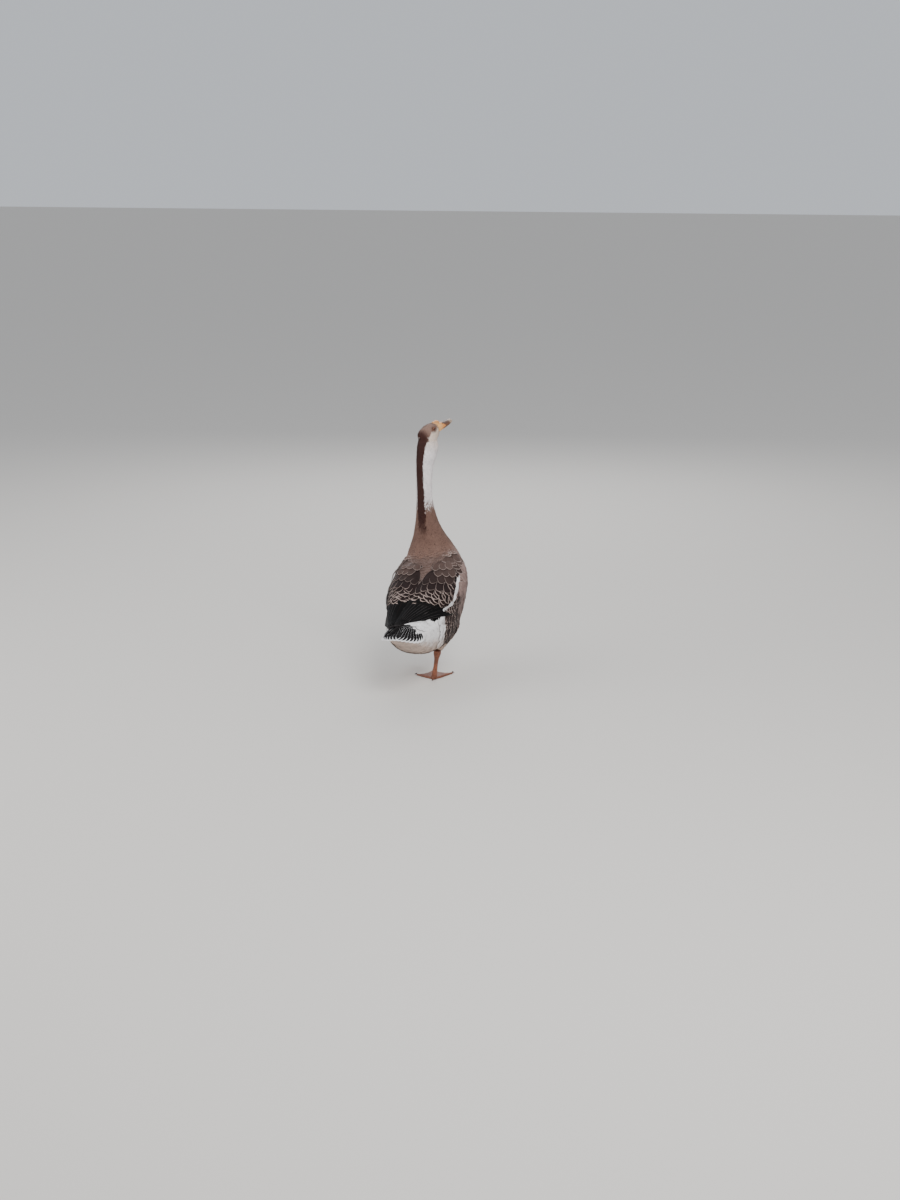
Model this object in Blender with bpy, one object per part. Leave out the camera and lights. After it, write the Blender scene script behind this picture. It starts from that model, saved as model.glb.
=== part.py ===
"""A domestic goose of the knob-billed kind, life size, looking up to its right with one foot lifted.

The goose heads along -Y, its right side is -X, and +Z is up. Trunk and neck are lengths of one lofted
tube whose sections follow STATIONS, and the head is an egg on top of it that follows HEAD_SECTIONS. Wings,
tail, thighs, legs, bill and eyes are set on them with thin gaps. The solids give the feathers' outer surface.
"""

import math

import bmesh
import bpy
from mathutils import Matrix, Vector

GAP = 0.0003  # between pieces that touch
UP = Vector((0, 0, 1))
TRUNK_SIDES = 26

# The tube from the tail to the head: forward and height of its centre, half width, the reach to back and to
# belly, and how far to the goose's left the centre lies. The first station only carries the wing tips and the
# tail, and the last one lies inside the head.
STATIONS = [
    (-0.336, 0.190, 0.050, 0.010, 0.010, 0.013),
    (-0.268, 0.189, 0.049, 0.020, 0.028, 0.010),
    (-0.200, 0.193, 0.070, 0.043, 0.074, 0.007),
    (-0.140, 0.204, 0.087, 0.070, 0.110, 0.003),
    (-0.075, 0.224, 0.100, 0.088, 0.132, -0.001),
    (-0.015, 0.250, 0.104, 0.094, 0.134, -0.005),
    (0.034, 0.290, 0.104, 0.084, 0.124, -0.006),
    (0.062, 0.336, 0.092, 0.067, 0.100, -0.001),
    (0.070, 0.380, 0.071, 0.049, 0.072, 0.006),
    (0.065, 0.424, 0.049, 0.036, 0.048, 0.0115),
    (0.054, 0.474, 0.034, 0.0295, 0.032, 0.0165),
    (0.040, 0.530, 0.0258, 0.0254, 0.0258, 0.0193),
    (0.028, 0.586, 0.0246, 0.0244, 0.0248, 0.0155),
    (0.021, 0.634, 0.0252, 0.0252, 0.0275, 0.0100),
    (0.021, 0.672, 0.0270, 0.0266, 0.0400, 0.0065),
    (0.024, 0.706, 0.0268, 0.0262, 0.0460, 0.0060),
    (0.028, 0.730, 0.0215, 0.0215, 0.0340, 0.0060),
]
RUMP, TAIL_ROOT, NECK_BASE, NECK_MIDDLE, NECK_TOP = 1.05, 1.72, 8.6, 11.6, 16.0

HEAD_TURN = math.radians(33)  # to the goose's right, about the top of the neck
HEAD_PITCH = math.radians(17)  # bill up
EYE_HEIGHT = 0.746  # of the head's axis between the eyes
EYE_AHEAD = 0.012  # of the top of the neck
# The head from its back to its face: ahead of the eyes, half width, and the reach to crown and throat.
HEAD_SECTIONS = [
    (-0.0450, 0.0070, 0.0060, 0.0090),
    (-0.0400, 0.0150, 0.0110, 0.0185),
    (-0.0300, 0.0215, 0.0152, 0.0262),
    (-0.0170, 0.0252, 0.0188, 0.0300),
    (-0.0030, 0.0256, 0.0218, 0.0318),
    (0.0080, 0.0240, 0.0224, 0.0318),
    (0.0180, 0.0206, 0.0204, 0.0298),
    (0.0280, 0.0152, 0.0160, 0.0215),
]
TURN_FROM, TURN_TO = 9.0, 14.5  # the stations between which the neck twists
TURN_AXIS = 0.030  # forward place of the twist's upright axis

BILL_LENGTH = 0.066
BILL_HALF_WIDTH = 0.0132
CULMEN_HEIGHT = 0.0210
JAW_DEPTH = 0.0115
NAIL_LENGTH = 0.0090
JAW_SHARE = 0.94  # of the bill's length that the lower bill has
KNOB_RADIUS = 0.0108
KNOB_PLACE = (0, 0.0020, 0.0130)  # in the face's frame
EYE_RADIUS = 0.0062
EYE_PLACE = (0.0192, 0.0090)  # across and above the head's axis

WING_FRONT, WING_SPLIT, WING_TIP = 7.75, 3.05, 0.0  # stations
WING_THICKNESS = 0.016
WING_RIM = 0.004
WING_ROOT = 0.005  # how deep the uncut wing reaches into the trunk
WING_CROSSING = math.radians(38)  # by which the right tip lies over the middle, and the left one beside it

TAIL_LENGTH = 0.122
TAIL_HALF_ANGLE = math.radians(46)
TAIL_FEATHERS = 16
TAIL_THICKNESS = 0.0045

STANDING_FOOT = Vector((-0.033, 0.053, 0.0))  # under the right foot's joint
STANDING_ANKLE = Vector((-0.047, 0.070, 0.092))
STANDING_HIP = Vector((-0.061, -0.004, 0.205))
STANDING_TURN = math.radians(15)  # toes inwards
LIFTED_ANKLE = Vector((0.051, 0.028, 0.092))
LIFTED_FOOT = Vector((0.045, -0.056, 0.103))
LIFTED_HIP = Vector((0.058, 0.012, 0.205))
LIFTED_DROOP = math.radians(42)  # of the toes below level
LIFTED_SPREAD = 0.35  # of the toes, against a foot that stands
THIGH_CLEARANCE = 0.006  # between the thigh's end and the ankle's centre
SHANK_GAP = 0.0008  # at each end of a shank, which can stand askew to its neighbour
JOINT_LENGTH = 0.0158  # of the foot's stub below the shank
THIGH_RADIUS = 0.041
THIGH_END_RADIUS = 0.0125
SHANK_RADII = (0.0104, 0.0112, 0.0088, 0.0068, 0.0062, 0.0061, 0.0063, 0.0069, 0.0078)
JOINT_RADII = (0.0086, 0.0092, 0.0090, 0.0082, 0.0078)
TOE_RADIUS = 0.0050
TOE_FLATTEN = 0.68
TOE_STEP = 0.0058  # between the toes' roots
WEB_THICKNESS = 0.0016
WEB_RISE = 0.0008  # of the web and the toes' edges off the floor
WEB_DROOP = 0.010  # of the folded web between closed toes
CLAW_LENGTH = 0.0085
HIND_CLAW_SHARE = 0.62  # of the size of a front claw
# Toe: name, angle from straight ahead towards the outer side, length.
TOES = [("inner", -47, 0.063), ("middle", 0, 0.085), ("outer", 43, 0.077)]
HIND_TOE_LENGTH = 0.018
HIND_TOE_RISE = 0.006  # of its root

FEATHERS_BROWN = (0.16, 0.11, 0.085)
FEATHERS_PALE = (0.70, 0.66, 0.60)
FEATHERS_DARK = (0.045, 0.036, 0.034)
HORN_ORANGE = (0.72, 0.33, 0.06)
LEG_ORANGE = (0.58, 0.22, 0.07)
CLAW_BROWN = (0.10, 0.07, 0.05)
EYE_BROWN = (0.06, 0.03, 0.015)


# ---------------------------------------------------------------- the scene and its materials


def clear_scene():
    for obj in list(bpy.data.objects):
        bpy.data.objects.remove(obj, do_unlink=True)


def new_collection(name):
    collection = bpy.data.collections.new(name)
    bpy.context.scene.collection.children.link(collection)
    return collection


def material(name, colour, roughness):
    made = bpy.data.materials.new(name)
    made.use_nodes = True
    shader = made.node_tree.nodes["Principled BSDF"]
    shader.inputs["Base Color"].default_value = (*colour, 1.0)
    shader.inputs["Roughness"].default_value = roughness
    shader.inputs["Metallic"].default_value = 0.0
    return made


def add_mesh(name, mesh, collection, finish=None):
    obj = bpy.data.objects.new(name, mesh)
    collection.objects.link(obj)
    if finish is not None:
        mesh.materials.append(finish)
    else:
        obj.hide_render = True
        obj.display_type = "WIRE"
    return obj


def mesh_from(bm, name):
    bmesh.ops.recalc_face_normals(bm, faces=bm.faces)
    mesh = bpy.data.meshes.new(name)
    bm.to_mesh(mesh)
    bm.free()
    mesh.shade_smooth()
    mesh.set_sharp_from_angle(angle=math.radians(50))
    return mesh


def loft(name, rings):
    """A closed tube through rings of equal count, with a flat cap on each end."""
    bm = bmesh.new()
    rows = [[bm.verts.new(p) for p in ring] for ring in rings]
    count = len(rows[0])
    for low, high in zip(rows, rows[1:]):
        for i in range(count):
            j = (i + 1) % count
            bm.faces.new((low[i], low[j], high[j], high[i]))
    bm.faces.new(rows[0])
    bm.faces.new(rows[-1])
    return mesh_from(bm, name)


def slab(name, top, bottom):
    """A closed plate between two grids of points of the same size."""
    bm = bmesh.new()
    sheets = [[[bm.verts.new(p) for p in row] for row in grid] for grid in (top, bottom)]
    rows, columns = len(top), len(top[0])
    for sheet in sheets:
        for i in range(rows - 1):
            for j in range(columns - 1):
                bm.faces.new((sheet[i][j], sheet[i][j + 1], sheet[i + 1][j + 1], sheet[i + 1][j]))
    rim = [(0, j) for j in range(columns - 1)] + [(i, columns - 1) for i in range(rows - 1)]
    rim += [(rows - 1, j) for j in range(columns - 1, 0, -1)] + [(i, 0) for i in range(rows - 1, 0, -1)]
    for (i, j), (k, m) in zip(rim, rim[1:] + rim[:1]):
        bm.faces.new((sheets[0][i][j], sheets[0][k][m], sheets[1][k][m], sheets[1][i][j]))
    return mesh_from(bm, name)


def boolean(obj, other, operation):
    change = obj.modifiers.new(operation.lower(), "BOOLEAN")
    change.operation = operation
    change.solver = "EXACT"
    change.object = other


# ---------------------------------------------------------------- the body tube


def spline(points, t):
    """A Catmull-Rom curve through equal steps of t, for numbers or tuples of numbers."""
    last = len(points) - 1
    i = min(max(int(math.floor(t)), 0), last - 1)
    u = t - i
    p0, p1, p2, p3 = (points[min(max(k, 0), last)] for k in (i - 1, i, i + 1, i + 2))
    weights = (
        -0.5 * u + u * u - 0.5 * u**3,
        1 - 2.5 * u * u + 1.5 * u**3,
        0.5 * u + 2 * u * u - 1.5 * u**3,
        -0.5 * u * u + 0.5 * u**3,
    )
    return [sum(w * q for w, q in zip(weights, column)) for column in zip(p0, p1, p2, p3)]


def ease(x):
    x = min(max(x, 0.0), 1.0)
    return x * x * (3 - 2 * x)


def turn_at(t):
    return HEAD_TURN * ease((t - TURN_FROM) / (TURN_TO - TURN_FROM))


def centre_at(t):
    forward, height, _, _, _, lean = spline(STATIONS, t)
    turn = turn_at(t)
    ahead = forward - TURN_AXIS
    return Vector((lean - math.sin(turn) * ahead, -TURN_AXIS - math.cos(turn) * ahead, height))


def frame_at(t):
    """Centre of the tube, and its directions to the right, to the back and ahead."""
    step = 0.02
    ahead = (centre_at(min(t + step, len(STATIONS) - 1)) - centre_at(max(t - step, 0))).normalized()
    turn = turn_at(t)
    right = Vector((-math.cos(turn), math.sin(turn), 0))
    right = (right - ahead * right.dot(ahead)).normalized()
    return centre_at(t), right, right.cross(ahead), ahead


def squareness(t, over):
    """How far a section is from an ellipse: the trunk is boxy at its flanks, and the neck is round."""
    return 2.0 + (0.22 if over > 0 else 0.60) * ease((9.0 - t) / 3) * ease((t - 1.0) / 2.5)


def surface_point(t, angle, lift=0.0):
    """A point of the tube, at an angle from its right side over its back, lifted off the surface."""
    centre, right, back, _ = frame_at(t)
    half_width, to_back, to_belly = spline(STATIONS, t)[2:5]
    across, over = math.cos(angle), math.sin(angle)
    power = 2.0 / squareness(t, over)
    reach = to_back if over > 0 else to_belly
    x = math.copysign(abs(across) ** power, across) * (half_width + lift)
    y = math.copysign(abs(over) ** power, over) * (reach + lift)
    return centre + right * x + back * y


def ring(t, count, lift=0.0, shift=0.0):
    """One section of the tube, moved ahead by shift."""
    ahead = frame_at(t)[3] * shift
    return [surface_point(t, math.tau * i / count, lift) + ahead for i in range(count)]


def length_of_tube(name, start, end, steps, count, lift=0.0):
    """The tube between two stations, half a gap short of each."""
    rings = []
    for k in range(steps + 1):
        shift = {0: GAP / 2, steps: -GAP / 2}.get(k, 0.0)
        rings.append(ring(start + (end - start) * k / steps, count, lift, shift))
    return loft(name, rings)


def rounded_rump(steps=3, lift=0.0):
    """Rings that close the trunk behind its last section."""
    centre, _, _, ahead = frame_at(RUMP)
    outline = ring(RUMP, TRUNK_SIDES, lift)
    rings = []
    for k in range(steps, 0, -1):
        turn = math.pi / 2 * k / (steps + 0.4)
        back_by = -ahead * (0.014 + lift) * math.sin(turn)
        rings.append([centre + back_by + (p - centre) * math.cos(turn) for p in outline])
    return rings


def trunk_mesh(name, lift=0.0, steps=20):
    rings = rounded_rump(lift=lift)
    for k in range(steps + 1):
        shift = -GAP / 2 if k == steps else 0.0
        rings.append(ring(RUMP + (NECK_BASE - RUMP) * k / steps, TRUNK_SIDES, lift, shift))
    return loft(name, rings)


# ---------------------------------------------------------------- wings and tail


def wing_span(side, u):
    """Lowest and highest angle of the folded wing, at a share u of the way from its bend to its tip."""
    front = math.sqrt(max(0.0, 1 - (1 - min(u / 0.22, 1.0)) ** 2))
    across = WING_CROSSING * ease((u - 0.45) / 0.55) * -side
    top = math.radians(40 + 42 * front + 5 * ease((u - 0.25) / 0.3))
    low = math.radians(32 - 36 * front + 62 * ease((u - 0.26) / 0.66))
    low += (top - low) * 0.8 * ease((u - 0.72) / 0.28)
    return low + across, top + across


def wing_point(side, u, v, lift):
    low, top = wing_span(side, u)
    angle = low + (top - low) * v
    t = WING_FRONT + (WING_TIP - WING_FRONT) * u
    return surface_point(t, angle if side < 0 else math.pi - angle, lift)


def wing_lift(u, v):
    """The wing's thickness, thin at its rim and full where the folded arm lies."""
    across = math.sin(math.pi * min(max(v, 0.0), 1.0)) ** 0.6
    along = min(1.0, 0.35 + 2.2 * u) * (1 - 0.55 * ease((u - 0.55) / 0.45))
    return WING_RIM + (WING_THICKNESS - WING_RIM) * across * along


def wing_mesh(name, side, u_start, u_end, steps, across=8):
    root = -WING_ROOT
    grids = []
    for lifted in (True, False):
        grid = []
        for i in range(steps + 1):
            u = u_start + (u_end - u_start) * i / steps
            row = []
            for j in range(across + 1):
                v = j / across
                lift = wing_lift(u, v) if lifted else root * (1 - ease((u - 0.62) / 0.1))
                row.append(wing_point(side, u, v, lift))
            grid.append(row)
        grids.append(grid)
    return slab(name, *grids)


def tail_mesh(name):
    """A shallow arched fan of overlapping feathers with rounded ends."""
    root, right, back, ahead = frame_at(TAIL_ROOT)
    root = root + back * 0.010 + ahead * 0.012
    droop = math.radians(-4)
    behind = (-ahead * math.cos(droop) + back * math.sin(droop)).normalized()
    over = right.cross(-behind).normalized()
    columns, rows = TAIL_FEATHERS * 2, 3
    grids = ([], [])
    for i in range(rows + 1):
        share = i / rows
        top_row, bottom_row = [], []
        for j in range(columns + 1):
            across = 2 * j / columns - 1
            angle = TAIL_HALF_ANGLE * across
            notch = 0.0045 * (j % 2 == 0)
            reach = TAIL_LENGTH * (1 - 0.24 * across * across) - notch * share
            out = 0.004 + reach * share
            place = root + behind * out * math.cos(angle) + right * out * math.sin(angle) * 0.92
            arch = -0.30 * (out * math.sin(angle)) ** 2 / 0.05
            half = TAIL_THICKNESS * (1.15 - 0.75 * share) / 2
            top_row.append(place + over * (arch + half))
            bottom_row.append(place + over * (arch - half))
        grids[0].append(top_row)
        grids[1].append(bottom_row)
    return slab(name, *grids)


# ---------------------------------------------------------------- head


def head_frame():
    """The head's own frame between the eyes: right, ahead and up."""
    top = centre_at(NECK_TOP)
    right = Vector((-math.cos(HEAD_TURN), math.sin(HEAD_TURN), 0))
    level = Vector((-math.sin(HEAD_TURN), -math.cos(HEAD_TURN), 0))
    ahead = level * math.cos(HEAD_PITCH) + UP * math.sin(HEAD_PITCH)
    axes = Matrix((right, ahead, right.cross(ahead))).transposed().to_4x4()
    return Matrix.Translation((top.x, top.y, EYE_HEIGHT)) @ Matrix.Translation(level * EYE_AHEAD) @ axes


def face_frame():
    return head_frame() @ Matrix.Translation((0, HEAD_SECTIONS[-1][0], 0))


def head_mesh(name, lift=0.0, steps=11, count=18):
    to_world = head_frame()
    rings = []
    for k in range(steps + 1):
        ahead, half_width, to_crown, to_throat = spline(HEAD_SECTIONS, (len(HEAD_SECTIONS) - 1) * k / steps)
        ahead += {0: -lift, steps: lift}.get(k, 0.0)
        outline = []
        for i in range(count):
            angle = math.tau * i / count
            reach = to_crown if math.sin(angle) > 0 else to_throat
            place = Vector((math.cos(angle) * (half_width + lift), ahead, math.sin(angle) * (reach + lift)))
            outline.append(to_world @ place)
        rings.append(outline)
    return loft(name, rings)


def bill_section(along, upper, lift=0.0, count=10):
    """Half of the bill's outline in the face's frame: a flat gape, and an arched culmen or chin."""
    taper = 1 - 0.10 * along - 0.14 * ease((along - 0.5) / 0.5)
    tip = math.sqrt(max(0.02, 1 - max(0.0, (along - 0.80) / 0.20) ** 2))
    half_width = BILL_HALF_WIDTH * taper * (0.25 + 0.75 * tip) * (1.0 if upper else 0.93) + lift
    if upper:
        height = CULMEN_HEIGHT * (1 - 1.16 * along + 0.54 * along * along) * (0.45 + 0.55 * tip) + lift
    else:
        height = -JAW_DEPTH * (1 - 0.95 * along + 0.32 * along * along) * (0.40 + 0.60 * tip) - lift
    gape = -0.0035 - 0.0015 * math.sin(math.pi * along)
    flat = GAP / 2 if upper else -GAP / 2
    points = []
    for i in range(count + 1):
        angle = math.pi * i / count
        x = math.cos(angle) * half_width
        z = gape + flat + math.sin(angle) ** 0.85 * height
        points.append(Vector((x, GAP + 0.0002 + along * BILL_LENGTH * (1.0 if upper else JAW_SHARE), z)))
    return points


def bill_mesh(name, upper, end=1.0, lift=0.0, steps=9):
    to_world = face_frame()
    rings = [
        [to_world @ p for p in bill_section(end * (1 - (1 - k / steps) ** 1.3), upper, lift)]
        for k in range(steps + 1)
    ]
    return loft(name, rings)


def nail_mesh(name):
    """The hard plate that ends the upper bill."""
    to_world = face_frame()
    rings = []
    for k in range(6):
        share = k / 5
        along = 1 - (NAIL_LENGTH / BILL_LENGTH) * (1 - share)
        shrink = 1.0 - 0.75 * share**2.2
        hook = 0.0022 * ease((share - 0.65) / 0.35)
        points = bill_section(along, True, 0.0, 8)
        base = points[0].z
        moved = [
            Vector((p.x * shrink * 0.95, p.y + GAP, base - hook + (p.z - base) * (1 - 0.35 * share)))
            for p in points
        ]
        rings.append([to_world @ p for p in moved])
    return loft(name, rings)


def ball(name, centre, radius, collection, finish=None, stretch=(1, 1, 1), axes=None, segments=12):
    bm = bmesh.new()
    bmesh.ops.create_uvsphere(bm, u_segments=segments, v_segments=segments // 2 + 1, radius=radius)
    bmesh.ops.scale(bm, vec=stretch, verts=bm.verts)
    mesh = mesh_from(bm, name)
    obj = add_mesh(name, mesh, collection, finish)
    mesh.transform(Matrix.Translation(centre) @ (axes or Matrix.Identity(4)))
    return obj


# ---------------------------------------------------------------- legs


def tube_rings(path, sizes, count, flatten=1.0):
    """Round sections along a path of points, square to its own course."""
    rings = []
    for k, (point, radius) in enumerate(zip(path, sizes)):
        ahead = (path[min(k + 1, len(path) - 1)] - path[max(k - 1, 0)]).normalized()
        side = ahead.cross(Vector((0, 1, 0))).normalized()
        front = side.cross(ahead)
        rings.append(
            [
                point
                + side * radius * math.cos(math.tau * i / count)
                + front * radius * flatten * math.sin(math.tau * i / count)
                for i in range(count)
            ]
        )
    return rings


def bent_path(start, middle, end, steps):
    """A curve from start to end that leans towards middle."""
    points = []
    for k in range(steps + 1):
        u = k / steps
        points.append(start * (1 - u) ** 2 + middle * 2 * u * (1 - u) + end * u * u)
    return points


def thigh_mesh(name, hip, end, lift=0.0, steps=7):
    """The feathered bulge of the thigh, slim at the ankle."""
    path = bent_path(hip, hip.lerp(end, 0.55) + Vector((0, -0.012, 0)), end, steps)
    sizes = []
    for k in range(steps + 1):
        share = k / steps
        bulge = THIGH_RADIUS * math.cos(math.pi / 2 * share**0.9) * (0.6 + 0.4 * ease(share * 8 / 3))
        sizes.append(THIGH_END_RADIUS + bulge + lift)
    return loft(name, tube_rings(path, sizes, 16, 1.15))


def shank_mesh(name, start, end, lift=0.0):
    """The bare shank: thick at the ankle, slim in the middle and wider again over the foot."""
    path = [start.lerp(end, k / (len(SHANK_RADII) - 1)) for k in range(len(SHANK_RADII))]
    return loft(name, tube_rings(path, [radius + lift for radius in SHANK_RADII], 12, 1.08))


def toe_rings(direction, steps=5):
    """Sections of the hind toe, which slopes from inside the joint down to the floor and is flat below."""
    side = Vector((direction.y, -direction.x, 0))
    rings = []
    for k in range(steps + 1):
        share = k / steps
        half = TOE_RADIUS * 0.72 * (1.08 - 0.42 * share)
        middle = direction * HIND_TOE_LENGTH * share + UP * HIND_TOE_RISE * (1 - share)
        outline = []
        for i in range(10):
            angle = math.tau * i / 10 - math.pi / 2
            height = half * TOE_FLATTEN * (1 + max(math.sin(angle), -0.6))
            outline.append(middle + side * half * math.cos(angle) + UP * (height - 0.4 * half * TOE_FLATTEN))
        rings.append(outline)
    return rings


def foot_toes(side, spread):
    """Name, root, direction and length of each front toe, in the foot's frame, its sole at z = 0."""
    toes = []
    for step, (name, angle, length) in zip((-1, 0, 1), TOES):
        turn = math.radians(angle) * side * spread
        root = Vector((step * side * TOE_STEP, 0, 0))
        toes.append((name, root, Vector((math.sin(turn), -math.cos(turn), 0)), length))
    return toes


def toe_half_width(share):
    swelling = 1 + 0.09 * math.cos(math.tau * 3 * share)
    tip = math.sqrt(max(0.0, 1 - (max(0.0, share - 0.92) / 0.085) ** 2))
    return TOE_RADIUS * (1.08 - 0.40 * share) * swelling * tip


def foot_row(toes, side, share, droop):
    """Points across the top and the sole of the foot, at a share of the way out along its toes."""
    axes = [root + direction * length * share for _, root, direction, length in toes]
    half = min(toe_half_width(share), *(0.46 * (q - p).length for p, q in zip(axes, axes[1:])))
    widths = [Vector((-direction.y, direction.x, 0)) * half * side for _, _, direction, _ in toes]
    top, sole = [], []
    web_top = WEB_RISE + WEB_THICKNESS
    swell = max(0.0, 2 * half * TOE_FLATTEN - web_top)
    for k, (axis, across) in enumerate(zip(axes, widths)):
        for offset in (-1, -0.6, 0, 0.6, 1):
            top.append(axis + across * offset + UP * (web_top + swell * math.sqrt(1 - offset * offset)))
            sole.append(axis + across * offset + UP * (WEB_RISE if abs(offset) == 1 else 0.0))
        if k == len(toes) - 1:
            continue
        start, end = axis + across, axes[k + 1] - widths[k + 1]
        for j in range(1, 3):
            bow = math.sin(math.pi * j / 3)
            place = start.lerp(end, j / 3)
            place = place * (1 - 0.15 * bow * share**2) - UP * droop * bow * share
            top.append(place + UP * web_top)
            sole.append(place + UP * WEB_RISE)
    return top, sole


def foot_mesh(name, toes, side, droop, steps=8):
    rows = [foot_row(toes, side, 1 - (1 - k / steps) ** 1.35, droop) for k in range(steps + 1)]
    return slab(name, [row[0] for row in rows], [row[1] for row in rows])


def joint_path(ankle):
    """The stub that carries a foot, from over its sole towards the ankle, in the foot's frame."""
    start = Vector((0, 0, 0.0012))
    direction = (ankle - start).normalized()
    start += UP * 0.0060 * math.hypot(direction.x, direction.y)
    return [start + direction * JOINT_LENGTH * k / 4 for k in range(5)]


def build_foot(side_name, side, spread, joint, place, collection, cutters, finishes):
    """One webbed foot as a single solid, and its claws. place takes the foot's frame to the model's."""
    name = f"foot_{side_name}"
    toes = foot_toes(side, spread)
    foot = add_mesh(name, foot_mesh(name, toes, side, WEB_DROOP * (1 - spread)), collection, finishes["leg"])
    bend = math.atan2(joint[-1].y - joint[0].y, joint[-1].z - joint[0].z)
    hind_place = place @ Matrix.Rotation(-bend * (spread < 1), 4, "X")
    hind_direction = Vector((-0.30 * side, 0.954, 0)).normalized()
    stub = loft(f"{name}_joint", tube_rings(joint, JOINT_RADII, 12))
    hind = loft(f"{name}_hind", toe_rings(hind_direction))
    foot.data.transform(place)
    for part, mesh, frame in (("joint", stub, place), ("hind", hind, hind_place)):
        mesh.transform(frame)
        boolean(foot, add_mesh(f"{name}_{part}", mesh, cutters), "UNION")
    for toe, root, direction, length in toes:
        end = root + direction * length
        build_claw(f"claw_{toe}_{side_name}", end, direction, 1.0, place, collection, finishes["claw"])
    end = hind_direction * HIND_TOE_LENGTH
    hind_claw = f"claw_hind_{side_name}"
    build_claw(hind_claw, end, hind_direction, HIND_CLAW_SHARE, hind_place, collection, finishes["claw"])


def build_claw(name, toe_end, direction, size, place, collection, finish):
    """A short curved claw on the end of a toe."""
    side = Vector((direction.y, -direction.x, 0))
    radius = TOE_RADIUS * 0.60 * size
    rings = []
    for k in range(5):
        share = k / 4
        half = radius * (1 - 0.82 * share**1.4)
        out = toe_end + direction * (GAP + CLAW_LENGTH * size * share)
        middle = out + UP * (0.0004 + radius * 0.5 * (1 - share**1.6) + half * 0.95)
        angles = [math.tau * i / 6 for i in range(6)]
        rings.append([middle + side * half * math.cos(a) + UP * half * 0.9 * math.sin(a) for a in angles])
    mesh = loft(name, rings)
    mesh.transform(place)
    add_mesh(name, mesh, collection, finish)


def build_leg(side_name, side, hip, ankle, foot_place, spread, collection, cutters, finishes):
    """Thigh, shank and foot of one leg, from the body down. side is -1 on the right."""
    thigh_end = ankle + (hip - ankle).normalized() * THIGH_CLEARANCE
    joint = joint_path(foot_place.inverted() @ thigh_end)
    foot_top = foot_place @ joint[-1]
    apart = (foot_top - thigh_end).normalized() * SHANK_GAP
    shank_ends = (thigh_end + apart, foot_top - apart)
    thigh = add_mesh(f"thigh_{side_name}", thigh_mesh("thigh", hip, thigh_end), collection, finishes["pale"])
    cutter_mesh = thigh_mesh("thigh_cutter", hip, thigh_end, GAP)
    thigh_cutter = add_mesh(f"thigh_{side_name}_cutter", cutter_mesh, cutters)
    boolean(collection.objects[f"wing_{side_name}"], thigh_cutter, "DIFFERENCE")
    boolean(thigh, cutters.objects["trunk_cutter"], "DIFFERENCE")
    cutter_mesh = shank_mesh("shank_cutter", *shank_ends, GAP)
    shank_cutter = add_mesh(f"shank_{side_name}_cutter", cutter_mesh, cutters)
    boolean(thigh, shank_cutter, "DIFFERENCE")
    add_mesh(f"shank_{side_name}", shank_mesh("shank", *shank_ends), collection, finishes["leg"])
    build_foot(side_name, side, spread, joint, foot_place, collection, cutters, finishes)


# ---------------------------------------------------------------- the goose


def build_body(collection, cutters, finishes):
    add_mesh("trunk", trunk_mesh("trunk"), collection, finishes["brown"])
    add_mesh("trunk_cutter", trunk_mesh("trunk_cutter", lift=GAP * 3), cutters)
    neck_lower = length_of_tube("neck_lower", NECK_BASE, NECK_MIDDLE, 8, 20)
    add_mesh("neck_lower", neck_lower, collection, finishes["brown"])
    neck_upper = length_of_tube("neck_upper", NECK_MIDDLE, NECK_TOP, 9, 18)
    neck_upper = add_mesh("neck_upper", neck_upper, collection, finishes["pale"])
    boolean(neck_upper, add_mesh("head_cutter", head_mesh("head_cutter", GAP), cutters), "DIFFERENCE")


def build_head(collection, cutters, finishes):
    head = add_mesh("head", head_mesh("head"), collection, finishes["brown"])
    to_world = face_frame()
    nail_share = 1 - NAIL_LENGTH / BILL_LENGTH
    add_mesh("bill_upper", bill_mesh("bill_upper", True, nail_share), collection, finishes["horn"])
    add_mesh("bill_lower", bill_mesh("bill_lower", False), collection, finishes["horn"])
    add_mesh("bill_nail", nail_mesh("bill_nail"), collection, finishes["claw"])
    knob_centre = to_world @ Vector(KNOB_PLACE)
    axes = to_world.to_3x3().to_4x4()
    knob = ball("knob", knob_centre, KNOB_RADIUS, collection, finishes["horn"], (0.95, 1.15, 0.88), axes)
    boolean(knob, cutters.objects["head_cutter"], "DIFFERENCE")
    bill_cutter = add_mesh("bill_cutter", bill_mesh("bill_cutter", True, nail_share, GAP), cutters)
    boolean(knob, bill_cutter, "DIFFERENCE")
    for side_name, side in (("right", 1), ("left", -1)):
        place = head_frame() @ Vector((EYE_PLACE[0] * side, 0, EYE_PLACE[1]))
        ball(f"eye_{side_name}", place, EYE_RADIUS, collection, finishes["eye"], axes=axes)
        socket = ball(f"socket_{side_name}", place, EYE_RADIUS + GAP, cutters, axes=axes)
        boolean(head, socket, "DIFFERENCE")


def build_wings_and_tail(collection, cutters, finishes):
    split = (WING_SPLIT - WING_FRONT) / (WING_TIP - WING_FRONT)
    hair = GAP / 2 / 0.40
    for side_name, side in (("right", -1), ("left", 1)):
        arm_mesh = wing_mesh("wing", side, 0.0, split - hair, 13)
        tip_mesh = wing_mesh("wingtip", side, split + hair, 1.0, 8)
        arm = add_mesh(f"wing_{side_name}", arm_mesh, collection, finishes["brown"])
        tip = add_mesh(f"wingtip_{side_name}", tip_mesh, collection, finishes["dark"])
        boolean(arm, cutters.objects["trunk_cutter"], "DIFFERENCE")
        boolean(tip, cutters.objects["trunk_cutter"], "DIFFERENCE")
    tail = add_mesh("tail", tail_mesh("tail"), collection, finishes["dark"])
    boolean(tail, cutters.objects["trunk_cutter"], "DIFFERENCE")


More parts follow.
